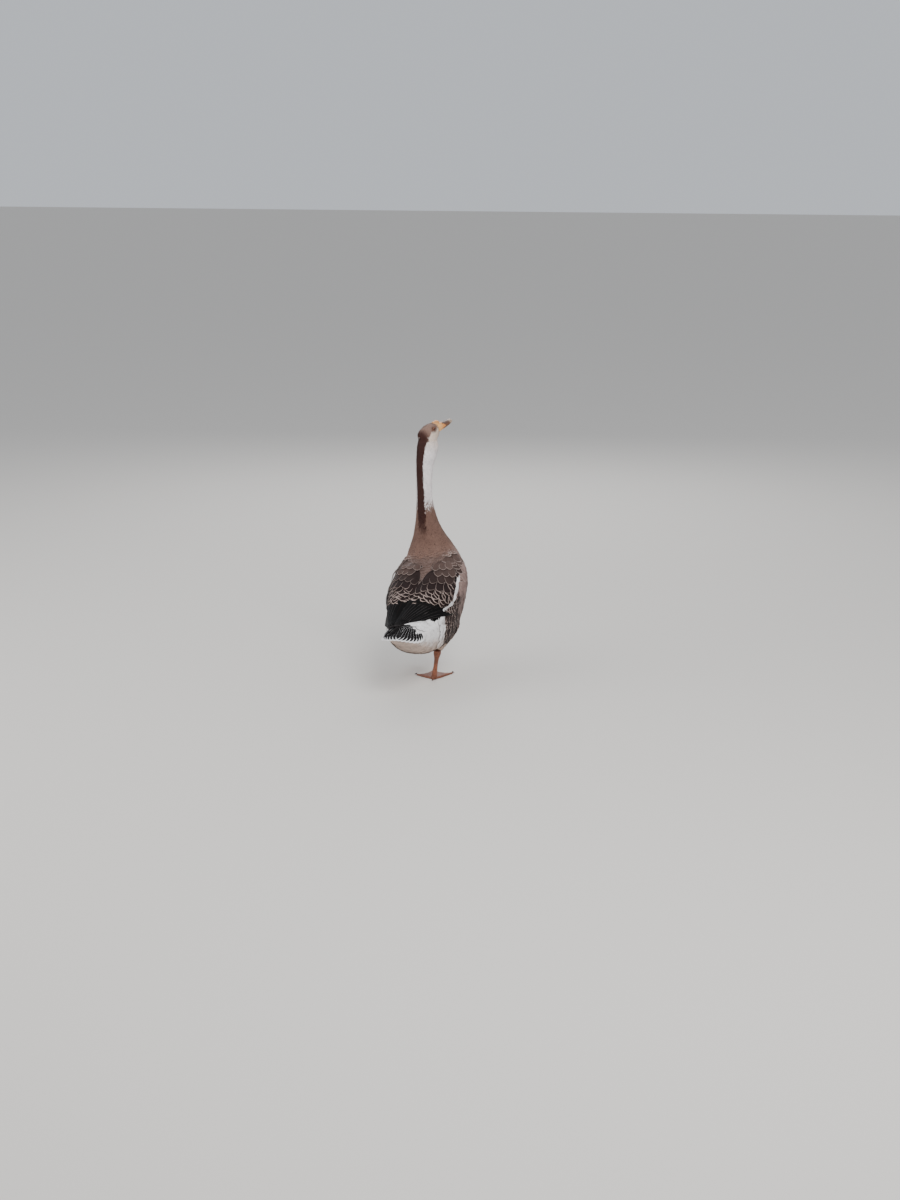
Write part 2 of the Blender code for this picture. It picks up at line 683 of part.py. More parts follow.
def stand_on_origin(collection, cutters):
    """Move everything so that the origin is under the middle of the goose's bounding box, at the floor."""
    depsgraph = bpy.context.evaluated_depsgraph_get()
    points = [v.co.copy() for obj in collection.objects for v in obj.evaluated_get(depsgraph).data.vertices]
    low = Vector(min(p[axis] for p in points) for axis in range(3))
    high = Vector(max(p[axis] for p in points) for axis in range(3))
    shift = Matrix.Translation((-(low.x + high.x) / 2, -(low.y + high.y) / 2, -low.z))
    for obj in list(collection.objects) + list(cutters.objects):
        obj.data.transform(shift)


def main():
    clear_scene()
    goose = new_collection("goose")
    cutters = new_collection("cutters")
    finishes = {
        "brown": material("brown_plumage", FEATHERS_BROWN, 0.75),
        "pale": material("pale_plumage", FEATHERS_PALE, 0.8),
        "dark": material("dark_plumage", FEATHERS_DARK, 0.6),
        "horn": material("orange_bill", HORN_ORANGE, 0.4),
        "leg": material("orange_leg_skin", LEG_ORANGE, 0.5),
        "claw": material("brown_claw", CLAW_BROWN, 0.35),
        "eye": material("brown_eye", EYE_BROWN, 0.08),
    }
    build_body(goose, cutters, finishes)
    build_head(goose, cutters, finishes)
    build_wings_and_tail(goose, cutters, finishes)
    standing = Matrix.Translation(STANDING_FOOT) @ Matrix.Rotation(STANDING_TURN, 4, "Z")
    lifted = Matrix.Translation(LIFTED_FOOT) @ Matrix.Rotation(LIFTED_DROOP, 4, "X")
    build_leg("right", -1, STANDING_HIP, STANDING_ANKLE, standing, 1.0, goose, cutters, finishes)
    build_leg("left", 1, LIFTED_HIP, LIFTED_ANKLE, lifted, LIFTED_SPREAD, goose, cutters, finishes)
    stand_on_origin(goose, cutters)


main()
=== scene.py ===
import math

import bmesh
import bpy
import numpy as np
from mathutils import Matrix, Vector
from mathutils.bvhtree import BVHTree
from mathutils.kdtree import KDTree


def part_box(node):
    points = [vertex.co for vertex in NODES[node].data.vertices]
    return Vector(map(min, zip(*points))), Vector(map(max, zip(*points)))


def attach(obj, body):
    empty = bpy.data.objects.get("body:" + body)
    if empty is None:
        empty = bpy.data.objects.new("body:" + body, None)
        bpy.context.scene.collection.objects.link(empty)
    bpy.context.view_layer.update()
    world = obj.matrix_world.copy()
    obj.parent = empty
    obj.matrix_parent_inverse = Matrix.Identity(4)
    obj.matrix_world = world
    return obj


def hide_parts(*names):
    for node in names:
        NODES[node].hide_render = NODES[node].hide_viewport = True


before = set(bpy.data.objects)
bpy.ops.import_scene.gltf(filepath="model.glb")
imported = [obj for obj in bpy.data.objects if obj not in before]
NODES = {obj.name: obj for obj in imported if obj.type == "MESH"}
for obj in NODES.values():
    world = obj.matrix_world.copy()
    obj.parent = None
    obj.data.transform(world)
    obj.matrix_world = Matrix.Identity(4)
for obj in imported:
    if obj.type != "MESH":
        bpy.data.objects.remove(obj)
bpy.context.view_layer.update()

RANDOM = np.random.default_rng(7)
UP = np.array((0.0, 0.0, 1.0))
SIDE_NAMES = {-1: "right", 1: "left"}
FLESH = ("trunk", "neck_lower", "neck_upper", "head", "thigh_left", "thigh_right", "wing_left", "wing_right")

# ---------------------------------------------------------------- the body's own measures

# The tube from the tail to the head: forward and height of its centre, half width, the reach to back and to
# belly, and how far to the goose's left the centre lies.
STATIONS = np.array([
    (-0.336, 0.190, 0.050, 0.010, 0.010, 0.013),
    (-0.268, 0.189, 0.049, 0.020, 0.028, 0.010),
    (-0.200, 0.193, 0.070, 0.043, 0.074, 0.007),
    (-0.140, 0.204, 0.087, 0.070, 0.110, 0.003),
    (-0.075, 0.224, 0.100, 0.088, 0.132, -0.001),
    (-0.015, 0.250, 0.104, 0.094, 0.134, -0.005),
    (0.034, 0.290, 0.104, 0.084, 0.124, -0.006),
    (0.062, 0.336, 0.092, 0.067, 0.100, -0.001),
    (0.070, 0.380, 0.071, 0.049, 0.072, 0.006),
    (0.065, 0.424, 0.049, 0.036, 0.048, 0.0115),
    (0.054, 0.474, 0.034, 0.0295, 0.032, 0.0165),
    (0.040, 0.530, 0.0258, 0.0254, 0.0258, 0.0193),
    (0.028, 0.586, 0.0246, 0.0244, 0.0248, 0.0155),
    (0.021, 0.634, 0.0252, 0.0252, 0.0275, 0.0100),
    (0.021, 0.672, 0.0270, 0.0266, 0.0400, 0.0065),
    (0.024, 0.706, 0.0268, 0.0262, 0.0460, 0.0060),
    (0.028, 0.730, 0.0215, 0.0215, 0.0340, 0.0060),
])
# The head from its back to its face: ahead of the eyes, half width, and the reach to crown and throat.
HEAD_SECTIONS = np.array([
    (-0.0450, 0.0070, 0.0060, 0.0090),
    (-0.0400, 0.0150, 0.0110, 0.0185),
    (-0.0300, 0.0215, 0.0152, 0.0262),
    (-0.0170, 0.0252, 0.0188, 0.0300),
    (-0.0030, 0.0256, 0.0218, 0.0318),
    (0.0080, 0.0240, 0.0224, 0.0318),
    (0.0180, 0.0206, 0.0204, 0.0298),
    (0.0280, 0.0152, 0.0160, 0.0215),
])
HEAD_END = len(HEAD_SECTIONS) - 1
FACE_AHEAD = HEAD_SECTIONS[-1][0]
# Stations along the tube.
RUMP, TAIL_ROOT, NECK_TOP = 1.05, 1.72, 16.0
HEAD_TURN = math.radians(33)
HEAD_PITCH = math.radians(17)
EYE_PLACE = (0.0192, 0.0090)  # across and above the head's axis
EYE_RADIUS = 0.0062
EYE_AHEAD = 0.012  # ahead of the top of the neck
EYE_SINK = 0.0010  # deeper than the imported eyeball
TURN_FROM, TURN_TO = 9.0, 14.5  # stations between which the neck turns
TURN_AXIS = 0.030  # how far forward the axis of that turn stands
WING_FRONT, WING_TIP = 7.75, 0.0  # stations
WING_THICKNESS, WING_RIM = 0.016, 0.004
WING_CROSSING = math.radians(38)
TAIL_LENGTH = 0.122
TAIL_HALF_ANGLE = math.radians(46)
TAIL_FEATHERS = 16
TAIL_RISE = math.radians(-14)

# ---------------------------------------------------------------- colours


def colour(red, green, blue):
    """Linear colour of a display colour from 0 to 255."""
    share = np.array((red, green, blue)) / 255
    return np.where(share <= 0.04045, share / 12.92, ((share + 0.055) / 1.055) ** 2.4)


NAPE_BROWN = colour(55, 34, 30)
CROWN_BROWN = colour(132, 106, 94)
NECK_WHITE = colour(226, 219, 218)
THROAT_CREAM = colour(216, 198, 182)
FACE_CREAM = colour(222, 184, 140)
BREAST_FAWN = colour(108, 83, 73)
MANTLE_BROWN = colour(96, 77, 70)
COVERT_BROWN = colour(32, 22, 20)
SCAPULAR_BROWN = colour(36, 26, 25)
QUILL_BLACK = colour(7, 6, 6)
EDGE_PALE = colour(166, 148, 140)
EDGE_GREY = colour(58, 54, 54)
FLANK_MAUVE = colour(138, 115, 108)
# White underparts darkened to beige, as painted shade.
FLANK_DARK = colour(38, 24, 21)
UNDERSIDE_SHADED_BEIGE = colour(196, 172, 156)
VENT_WHITE = colour(232, 229, 228)
TAIL_DARK = colour(14, 11, 11)


# ---------------------------------------------------------------- shapes worked out from the measures


def unit(v):
    return v / np.linalg.norm(v, axis=-1, keepdims=True)


def dot(a, b):
    return np.sum(a * b, axis=-1, keepdims=True)


def ease(x):
    x = np.clip(x, 0.0, 1.0)
    return x * x * (3 - 2 * x)


def box_of(node):
    """Lowest and highest corner of a CAD node."""
    return np.array([list(corner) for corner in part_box(node)])


def spline(table, t):
    """A Catmull-Rom curve through the rows of a table, at places counted in rows."""
    last = len(table) - 1
    i = np.clip(np.floor(t).astype(int), 0, last - 1)
    u = (t - i)[..., None]
    rows = [table[np.clip(i + k, 0, last)] for k in (-1, 0, 1, 2)]
    weights = (
        -0.5 * u + u**2 - 0.5 * u**3,
        1 - 2.5 * u**2 + 1.5 * u**3,
        0.5 * u + 2 * u**2 - 1.5 * u**3,
        -0.5 * u**2 + 0.5 * u**3,
    )
    return sum(w * row for w, row in zip(weights, rows))


def centre_unshifted(t):
    """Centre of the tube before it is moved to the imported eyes, its turn to the right and its measures."""
    values = spline(STATIONS, t)
    turn = HEAD_TURN * ease((t - TURN_FROM) / (TURN_TO - TURN_FROM))
    ahead = values[..., 0] - TURN_AXIS
    x = values[..., 5] - np.sin(turn) * ahead
    y = -TURN_AXIS - np.cos(turn) * ahead
    return np.stack((x, y, values[..., 1]), -1), turn, values


# The head's own axes, and the place between the eyes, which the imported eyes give.
HEAD_RIGHT = np.array((-math.cos(HEAD_TURN), math.sin(HEAD_TURN), 0.0))
HEAD_LEVEL = np.array((-math.sin(HEAD_TURN), -math.cos(HEAD_TURN), 0.0))
HEAD_AHEAD = HEAD_LEVEL * math.cos(HEAD_PITCH) + UP * math.sin(HEAD_PITCH)
HEAD_UP = np.cross(HEAD_RIGHT, HEAD_AHEAD)
HEAD_AXES = np.column_stack((HEAD_RIGHT, HEAD_AHEAD, HEAD_UP))
EYES = {side: box_of(f"eye_{side}").mean(axis=0) for side in ("right", "left")}
HEAD_MIDDLE = (EYES["right"] + EYES["left"]) / 2 - HEAD_UP * EYE_PLACE[1]
NECK_TOP_MIDDLE = HEAD_MIDDLE - HEAD_LEVEL * EYE_AHEAD
SHIFT = NECK_TOP_MIDDLE - centre_unshifted(np.array(NECK_TOP))[0]
SHIFT[2] = 0.0


def body_frame(t):
    """Centre of the tube, its directions to the right, to the back and ahead, and its measures there."""
    step = 0.02
    centre, turn, values = centre_unshifted(t)
    later = centre_unshifted(np.minimum(t + step, len(STATIONS) - 1))[0]
    earlier = centre_unshifted(np.maximum(t - step, 0))[0]
    ahead = unit(later - earlier)
    right = np.stack((-np.cos(turn), np.sin(turn), np.zeros_like(turn)), -1)
    right = unit(right - ahead * dot(right, ahead))
    return centre + SHIFT, right, np.cross(right, ahead), ahead, values


def body_point(t, angle, lift=0.0):
    """A point of the tube, at an angle from its right side over its back, lifted off the surface."""
    centre, right, back, _, values = body_frame(t)
    across, over = np.cos(angle), np.sin(angle)
    boxiness = np.where(over > 0, 0.22, 0.60) * ease((9.0 - t) / 3) * ease((t - 1.0) / 2.5)
    power = 2.0 / (2.0 + boxiness)
    reach = np.where(over > 0, values[..., 3], values[..., 4])
    x = np.sign(across) * np.abs(across) ** power * (values[..., 2] + lift)
    y = np.sign(over) * np.abs(over) ** power * (reach + lift)
    return centre + right * x[..., None] + back * y[..., None]


def head_point(p, angle, lift=0.0):
    """A point of the head, p sections from its back, at an angle from its right side over its crown."""
    values = spline(HEAD_SECTIONS, p)
    reach = np.where(np.sin(angle) > 0, values[..., 2], values[..., 3])
    x = np.cos(angle) * (values[..., 1] + lift)
    z = np.sin(angle) * (reach + lift)
    place = HEAD_RIGHT * x[..., None] + HEAD_AHEAD * values[..., :1] + HEAD_UP * z[..., None]
    return HEAD_MIDDLE + place


def head_place(points):
    """Points in the head's own axes: across, ahead and up."""
    return (points - HEAD_MIDDLE) @ HEAD_AXES


def wing_station(u):
    """The station at a share of the folded wing's length, from its bend at 0 to its tip at 1."""
    return WING_FRONT - u * (WING_FRONT - WING_TIP)


def wing_share(t):
    """How far back along the folded wing a station lies."""
    return (WING_FRONT - t) / (WING_FRONT - WING_TIP)


def wing_span(side, u):
    """Lowest and highest angle of the folded wing. side is -1 on the right."""
    front = np.sqrt(np.maximum(0.0, 1 - (1 - np.clip(u / 0.22, 0, 1)) ** 2))
    across = WING_CROSSING * ease((u - 0.45) / 0.55) * -side
    top = np.radians(40 + 42 * front + 5 * ease((u - 0.25) / 0.3))
    low = np.radians(32 - 36 * front + 62 * ease((u - 0.26) / 0.66))
    low = low + (top - low) * 0.8 * ease((u - 0.72) / 0.28)
    return low + across, top + across


def wing_angle(side, u, v):
    low, top = wing_span(side, u)
    angle = low + (top - low) * v
    return angle if side < 0 else math.pi - angle


def wing_lift(side, t, angle):
    """How far the solid wing's surface stands off the body."""
    u = np.clip(wing_share(t), 0, 1)
    low, top = wing_span(side, u)
    own = angle if side < 0 else math.pi - angle
    v = np.clip((own - low) / (top - low), 0, 1)
    across = np.sin(math.pi * v) ** 0.6
    along = np.minimum(1.0, 0.35 + 2.2 * u) * (1 - 0.55 * ease((u - 0.55) / 0.45))
    return WING_RIM + (WING_THICKNESS - WING_RIM) * across * along


def wing_place(side, u, v):
    """A point of the folded wing's outer side, at shares of its length and breadth."""
    t = wing_station(u)
    angle = wing_angle(side, u, v)
    return body_point(t, angle, wing_lift(side, t, angle))


# ---------------------------------------------------------------- helpers for pieces


def deselect():
    bpy.ops.object.select_all(action="DESELECT")


def activate(obj):
    deselect()
    obj.select_set(True)
    bpy.context.view_layer.objects.active = obj


def apply_modifier(obj, kind, **settings):
    activate(obj)
    change = obj.modifiers.new(kind.lower(), kind)
    for key, value in settings.items():
        setattr(change, key, value)
    bpy.ops.object.modifier_apply(modifier=change.name)


def copy_of(node, name):
    """A loose copy of a CAD node with its corners merged."""
    copy = NODES[node].copy()
    copy.data = NODES[node].data.copy()
    copy.name = name
    copy.parent = None
    for key in [key for key in copy.keys() if key.startswith("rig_")]:
        del copy[key]
    bpy.context.scene.collection.objects.link(copy)
    activate(copy)
    bpy.ops.object.mode_set(mode="EDIT")
    bpy.ops.mesh.select_all(action="SELECT")
    bpy.ops.mesh.remove_doubles(threshold=0.00002)
    bpy.ops.mesh.normals_make_consistent(inside=False)
    bpy.ops.object.mode_set(mode="OBJECT")
    return copy


def join(objects, name):
    deselect()
    for obj in objects:
        obj.select_set(True)
    bpy.context.view_layer.objects.active = objects[0]
    bpy.ops.object.join()
    joined = bpy.context.view_layer.objects.active
    joined.name = name
    return joined


def settle(obj):
    """Put the object's place into its mesh."""
    activate(obj)
    bpy.ops.object.transform_apply(location=True, rotation=True, scale=True)


def finish(obj, finish_material, slot, *replaced):
    """Give a piece its finish and body, and hide the nodes it stands for."""
    obj.data.materials.clear()
    obj.data.materials.append(finish_material)
    activate(obj)
    bpy.ops.object.shade_smooth()
    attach(obj, "root")
    if replaced:
        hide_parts(*replaced)


def points_of(mesh):
    points = np.empty(len(mesh.vertices) * 3)
    mesh.vertices.foreach_get("co", points)
    return points.reshape(-1, 3)


def normals_of(mesh):
    normals = np.empty(len(mesh.vertices) * 3)
    mesh.vertices.foreach_get("normal", normals)
    return normals.reshape(-1, 3)


def place_points(mesh, points):
    mesh.vertices.foreach_set("co", points.ravel())
    mesh.update()


def mesh_from_arrays(name, points, quads):
    mesh = bpy.data.meshes.new(name)
    mesh.vertices.add(len(points))
    mesh.vertices.foreach_set("co", points.ravel())
    mesh.loops.add(quads.size)
    mesh.loops.foreach_set("vertex_index", quads.ravel().astype(np.int32))
    mesh.polygons.add(len(quads))
    mesh.polygons.foreach_set("loop_start", np.arange(0, quads.size, 4, dtype=np.int32))
    mesh.update(calc_edges=True)
    obj = bpy.data.objects.new(name, mesh)
    bpy.context.scene.collection.objects.link(obj)
    return obj


def set_colour(mesh, name, values):
    """A colour for each corner point of a mesh."""
    layer = mesh.color_attributes.new(name, "FLOAT_COLOR", "POINT")
    rgba = np.ones((len(values), 4))
    rgba[:, :3] = values
    layer.data.foreach_set("color", rgba.ravel())


def set_uv(mesh, name, values):
    layer = mesh.uv_layers.new(name=name)
    layer.data.foreach_set("uv", values.ravel())


# ---------------------------------------------------------------- materials


class Nodes:
    """A material and short ways to add nodes to it."""

    def __init__(self, name):
        self.material = bpy.data.materials.new(name)
        self.material.use_nodes = True
        self.tree = self.material.node_tree
        self.shader = self.tree.nodes["Principled BSDF"]

    def add(self, kind, settings=(), **inputs):
        """A node with its settings. Its inputs are given by name, or by number as i0, i1 and so on."""
        node = self.tree.nodes.new(kind)
        for key, value in dict(settings).items():
            setattr(node, key, value)
        for key, value in inputs.items():
            self.feed(node.inputs[int(key[1:]) if key[1:].isdigit() else key.replace("_", " ")], value)
        return node

    def feed(self, socket, value):
        if hasattr(value, "links"):
            self.tree.links.new(value, socket)
        elif isinstance(value, (tuple, list, np.ndarray)) and len(value) == 3 and socket.type == "RGBA":
            socket.default_value = (*value, 1.0)
        else:
            socket.default_value = value

    def math(self, operation, *values):
        inputs = {f"i{k}": value for k, value in enumerate(values)}
        return self.add("ShaderNodeMath", {"operation": operation}, **inputs).outputs[0]

    def ramp(self, value, low, high, start=0.0, end=1.0):
        """From start to end as the value goes from low to high."""
        settings = {"interpolation_type": "SMOOTHSTEP"}
        node = self.add("ShaderNodeMapRange", settings, i0=value, i1=low, i2=high, i3=start, i4=end)
        return node.outputs[0]

    def mix(self, share, first, second):
        return self.add("ShaderNodeMix", {"data_type": "RGBA"}, i0=share, i6=first, i7=second).outputs[2]

    def shaded(self, tone, value):
        return self.add("ShaderNodeHueSaturation", (), Value=value, Color=tone).outputs[0]

    def noise(self, vector, scale, detail=3.0, roughness=0.5):
        inputs = {"Vector": vector, "Scale": scale, "Detail": detail, "Roughness": roughness}
        return self.add("ShaderNodeTexNoise", (), **inputs).outputs[0]

    def object_place(self):
        return self.add("ShaderNodeTexCoord").outputs["Object"]

    def attribute(self, name):
        return self.add("ShaderNodeAttribute", {"attribute_name": name}).outputs["Color"]

    def bump(self, height, strength, distance):
        node = self.add("ShaderNodeBump", (), Height=height, Strength=strength, Distance=distance)
        self.feed(self.shader.inputs["Normal"], node.outputs[0])

    def set(self, **inputs):
        for key, value in inputs.items():
            self.feed(self.shader.inputs[key.replace("_", " ")], value)
        return self.material


BARB_PITCH = 0.0013
BARB_SLANT = 0.22


def plumage_material():
    """Vanes: each has its own tone and edge, a shaft line, fine barbs and a slight mottle."""
    n = Nodes("plumage")
    vane = n.add("ShaderNodeUVMap", {"uv_map": "Vane"}).outputs[0]
    vane_across, along = n.add("ShaderNodeSeparateXYZ", (), Vector=vane).outputs[:2]
    across = n.math("ABSOLUTE", n.math("MULTIPLY_ADD", vane_across, 2.0, -1.0))
    edge = n.add("ShaderNodeAttribute", {"attribute_name": "Edge"}).outputs["Vector"]
    edge_across, edge_along, length = n.add("ShaderNodeSeparateXYZ", (), Vector=edge).outputs
    place = n.object_place()
    wander = n.math("MULTIPLY", n.math("SUBTRACT", n.noise(place, 260.0), 0.5), 0.45)
    inward_across = n.math("DIVIDE", n.math("SUBTRACT", 1.0, across), edge_across)
    inward_along = n.math("DIVIDE", n.math("SUBTRACT", 1.0, along), edge_along)
    inward = n.math("ADD", n.math("MINIMUM", inward_across, inward_along), wander)
    rim = n.math("MULTIPLY", n.ramp(inward, 0.55, 1.25, 1.0, 0.0), n.ramp(along, 0.28, 0.58))
    hue = n.shaded(n.attribute("Tone"), n.ramp(n.noise(place, 45.0, 4.0), 0.3, 0.7, 0.86, 1.12))
    slope = n.math("SUBTRACT", along, n.math("MULTIPLY", across, BARB_SLANT))
    barbs = n.math("SINE", n.math("MULTIPLY", slope, n.math("MULTIPLY", length, 2 * math.pi / BARB_PITCH)))
    barred = n.shaded(hue, n.ramp(barbs, -1.0, 1.0, 0.96, 1.03))
    edged = n.mix(rim, barred, n.attribute("EdgeTone"))
    shaft = n.math("MULTIPLY", n.ramp(across, 0.0, 0.10, 1.0, 0.0), n.ramp(along, 0.5, 0.95, 0.30, 0.0))
    finished = n.mix(shaft, edged, NAPE_BROWN * 0.8)
    n.bump(n.math("ADD", n.math("MULTIPLY", barbs, 0.4), n.noise(place, 700.0, 2.0)), 0.30, 0.0003)
    roughness = n.ramp(n.noise(place, 90.0), 0.3, 0.7, 0.52, 0.70)
    return n.set(Base_Color=finished, Roughness=roughness, Sheen_Weight=0.02, Sheen_Roughness=0.45,
                 Specular_IOR_Level=0.09)


def skin_material():
    """Down between the vanes, in the same markings."""
    n = Nodes("skin_and_down")
    fluff = n.noise(n.object_place(), 420.0, 5.0, 0.7)
    finished = n.shaded(n.attribute("Tone"), n.ramp(fluff, 0.3, 0.7, 0.62, 1.02))
    n.bump(fluff, 0.7, 0.0012)
    return n.set(Base_Color=finished, Roughness=0.85, Specular_IOR_Level=0.2)


PLUMAGE = plumage_material()
SKIN = skin_material()

# ---------------------------------------------------------------- outer form


def grid_quads(rows, columns, around=False):
    """The faces of a grid of points, closed round the second way if asked."""
    index = np.arange(rows * columns).reshape(rows, columns)
    following = np.roll(index, -1, 1) if around else index[:, 1:]
    current = index if around else index[:, :-1]
    return np.stack((current[:-1], following[:-1], following[1:], current[1:]), -1).reshape(-1, 4)


def rings(places, columns):
    """Places along a form and angles round it."""
    return np.meshgrid(places, np.linspace(0, 2 * math.pi, columns, False), indexing="ij")


def closed_form(name, points):
    """A closed mesh from rings of points, with a face at each end."""
    rows, columns = points.shape[:2]
    obj = mesh_from_arrays(name, points.reshape(-1, 3), grid_quads(rows, columns, around=True))
    last = rows * columns - 1
    form = bmesh.new()
    form.from_mesh(obj.data)
    form.verts.ensure_lookup_table()
    form.faces.new([form.verts[i] for i in range(columns)])
    form.faces.new([form.verts[last - i] for i in range(columns)])
    bmesh.ops.recalc_face_normals(form, faces=form.faces)
    form.to_mesh(obj.data)
    form.free()
    return obj


def tube_form():
    return closed_form("tube_form", body_point(*rings(np.linspace(RUMP, NECK_TOP, 240), 96)))


def head_form():
    return closed_form("head_form", head_point(*rings(np.linspace(0, HEAD_END, 60), 72)))


WING_FORM_END = 0.80  # share of the wing's length
WING_UNDER = -0.006  # how deep in the body the form's underside lies


def wing_form(side):
    """The folded wing as a closed form: over its outer side from edge to edge, and back under it."""
    u, v = np.meshgrid(np.linspace(0.004, WING_FORM_END, 90), np.linspace(0, 1, 33), indexing="ij")
    under = body_point(wing_station(u), wing_angle(side, u, v), WING_UNDER)[:, ::-1]
    return closed_form(f"wing_form_{side}", np.concatenate((wing_place(side, u, v), under), 1))


FORM_VOXEL = 0.0026
JUNCTION = NECK_TOP_MIDDLE[2] - 0.010  # height at which head and neck meet
JUNCTION_REACH = 0.015


def make_form():
    """Tube, head, wings and thighs melted into one, smoothed more where head and neck meet."""
    parts = [tube_form(), head_form(), wing_form(-1), wing_form(1)]
    parts += [copy_of("thigh_right", "thigh_form_right"), copy_of("thigh_left", "thigh_form_left")]
    form = join(parts, "skin")
    settle(form)
    apply_modifier(form, "REMESH", mode="VOXEL", voxel_size=FORM_VOXEL)
    apply_modifier(form, "SMOOTH", factor=0.5, iterations=6)
    group = form.vertex_groups.new(name="junction")
    for vertex in form.data.vertices:
        near = 1.5 - abs(vertex.co.z - JUNCTION) / JUNCTION_REACH
        if near > 0:
            group.add([vertex.index], min(1.0, near), "REPLACE")
    apply_modifier(form, "SMOOTH", factor=0.6, iterations=30, vertex_group="junction")
    form.vertex_groups.clear()
    return form


def surface_tree(mesh):
    return BVHTree.FromPolygons(points_of(mesh).tolist(), [tuple(face.vertices) for face in mesh.polygons])


def wing_surface(side):
    """The outer side of the folded wing to its very tip, for the long feathers."""
    u, v = np.meshgrid(np.linspace(0.0, 1.0, 160), np.linspace(-0.1, 1.1, 60), indexing="ij")
    quads = grid_quads(*u.shape)
    if side > 0:
        quads = quads[:, ::-1]
    return BVHTree.FromPolygons(wing_place(side, u, v).reshape(-1, 3).tolist(), quads.tolist())


def nearest(tree, points):
    """The nearest point of a surface and its normal, for many points."""
    flat = points.reshape(-1, 3)
    place, normal = np.empty_like(flat), np.empty_like(flat)
    for i, point in enumerate(flat.tolist()):
        place[i], normal[i] = tree.find_nearest(point)[:2]
    return place.reshape(points.shape), normal.reshape(points.shape)


def press(tree, points):
    """Points moved along the surface's normals until they lie level with it, and those normals."""
    place, normal = nearest(tree, points)
    return points - normal * dot(points - place, normal), normal


TUBE = tube_form()
TUBE_TREE = surface_tree(TUBE.data)
bpy.data.objects.remove(TUBE)
FORM = make_form()
FORM_POINTS = points_of(FORM.data)
FORM_TREE = surface_tree(FORM.data)
WING_SURFACES = {side: wing_surface(side) for side in (-1, 1)}

# ---------------------------------------------------------------- how feathers are made

SMALL_PATCH, LONG_PATCH = 0.003, 0.02  # sizes of a feather's patch on the unwrap
LONG_THICKNESS = 0.0004
NARROW = 0.5  # width at the root as a share of the full width


def columns_across(number):
    """Places from one edge of a vane to the other, from -1 to 1, closer together at the edges."""
    return np.sin(np.linspace(-math.pi / 2, math.pi / 2, number))


def read_along(steps, along):
    """A function that reads values, kept at each vane's steps, at other places along the vane."""
    lower = np.clip(np.searchsorted(steps, along, side="right") - 1, 0, len(steps) - 2)
    share = ((along - steps[lower]) / (steps[lower + 1] - steps[lower]))[..., None]
    pick = np.arange(len(along))[:, None, None]
    return lambda values: values[pick, lower] * (1 - share) + values[pick, lower + 1] * share


def lay_vanes(name, shafts, steps, along, across, outline, width, tones, *, tree, lift, camber, length, solid,
              unwrap, patch, replaced=()):
    """One mesh of like vanes, with their colours and maps.

    shafts are the places of each vane's shaft, the directions to its side and its uprights, at steps
    along it. along and across say where on the vane its points lie, and outline how wide it is at each
    step. tones gives each feather's colour, edge colour, and width of the edge as a share of the half
    width and of the length. lift is the height over the surface at root and tip. A solid vane is closed
    by a lower side.
    """
    count = len(along)
    at = read_along(steps, along)
    path, sides, ups = (at(values) for values in shafts)
    up = unit(ups)
    reach = width[:, None, None] / 2 * at(outline[..., None])[..., 0] * across
    points = path + sides * reach[..., None]
    if tree is not None:
        points = press(tree, points)[0]
    lift_root, lift_tip = (np.broadcast_to(x, (count,))[:, None, None] for x in lift)
    height = lift_root + (lift_tip - lift_root) * along - camber * width[:, None, None] * across**2
    points = points + up * height[..., None]

    index = np.arange(len(steps) * len(across)).reshape(len(steps), len(across))
    per = index.size
    points = points.reshape(count, per, 3)
    quads = grid_quads(*index.shape)[:, (0, 3, 2, 1)]
    vane = np.stack(np.broadcast_arrays((across + 1) / 2, steps[:, None]), -1).reshape(per, 2)
    if solid:
        points = np.concatenate((points, points - up.reshape(count, per, 3) * solid), 1)
        rim = np.concatenate((index[:, 0], index[-1, 1:], index[-2::-1, -1], index[0, -2:0:-1]))
        following = np.roll(rim, -1)
        walls = np.stack((rim, rim + per, following + per, following), -1)
        quads = np.concatenate((quads, quads[:, ::-1] + per, walls))
        vane = np.concatenate((vane, vane))
        per *= 2
    faces = (quads[None] + (np.arange(count) * per)[:, None, None]).reshape(-1, 4)
    obj = mesh_from_arrays(name, points.reshape(-1, 3), faces)

    tone, edge_tone, edge = tones
    shares = np.column_stack((np.broadcast_to(edge, (count, 2)), np.broadcast_to(length, (count,))))
    layers = {"Tone": np.clip(tone, 0, 1), "EdgeTone": np.clip(edge_tone, 0, 1), "Edge": shares}
    for layer, values in layers.items():
        set_colour(obj.data, layer, np.repeat(np.broadcast_to(values, (count, 3)), per, 0))
    corners = faces.ravel()
    own = np.tile(vane, (count, 1))
    set_uv(obj.data, "Vane", own[corners])
    set_uv(obj.data, "OFBake", (np.repeat(unwrap, per, 0) + (own - 0.5) * patch)[corners])
    obj.data.uv_layers["Vane"].active = True
    finish(obj, PLUMAGE, "plumage", *replaced)


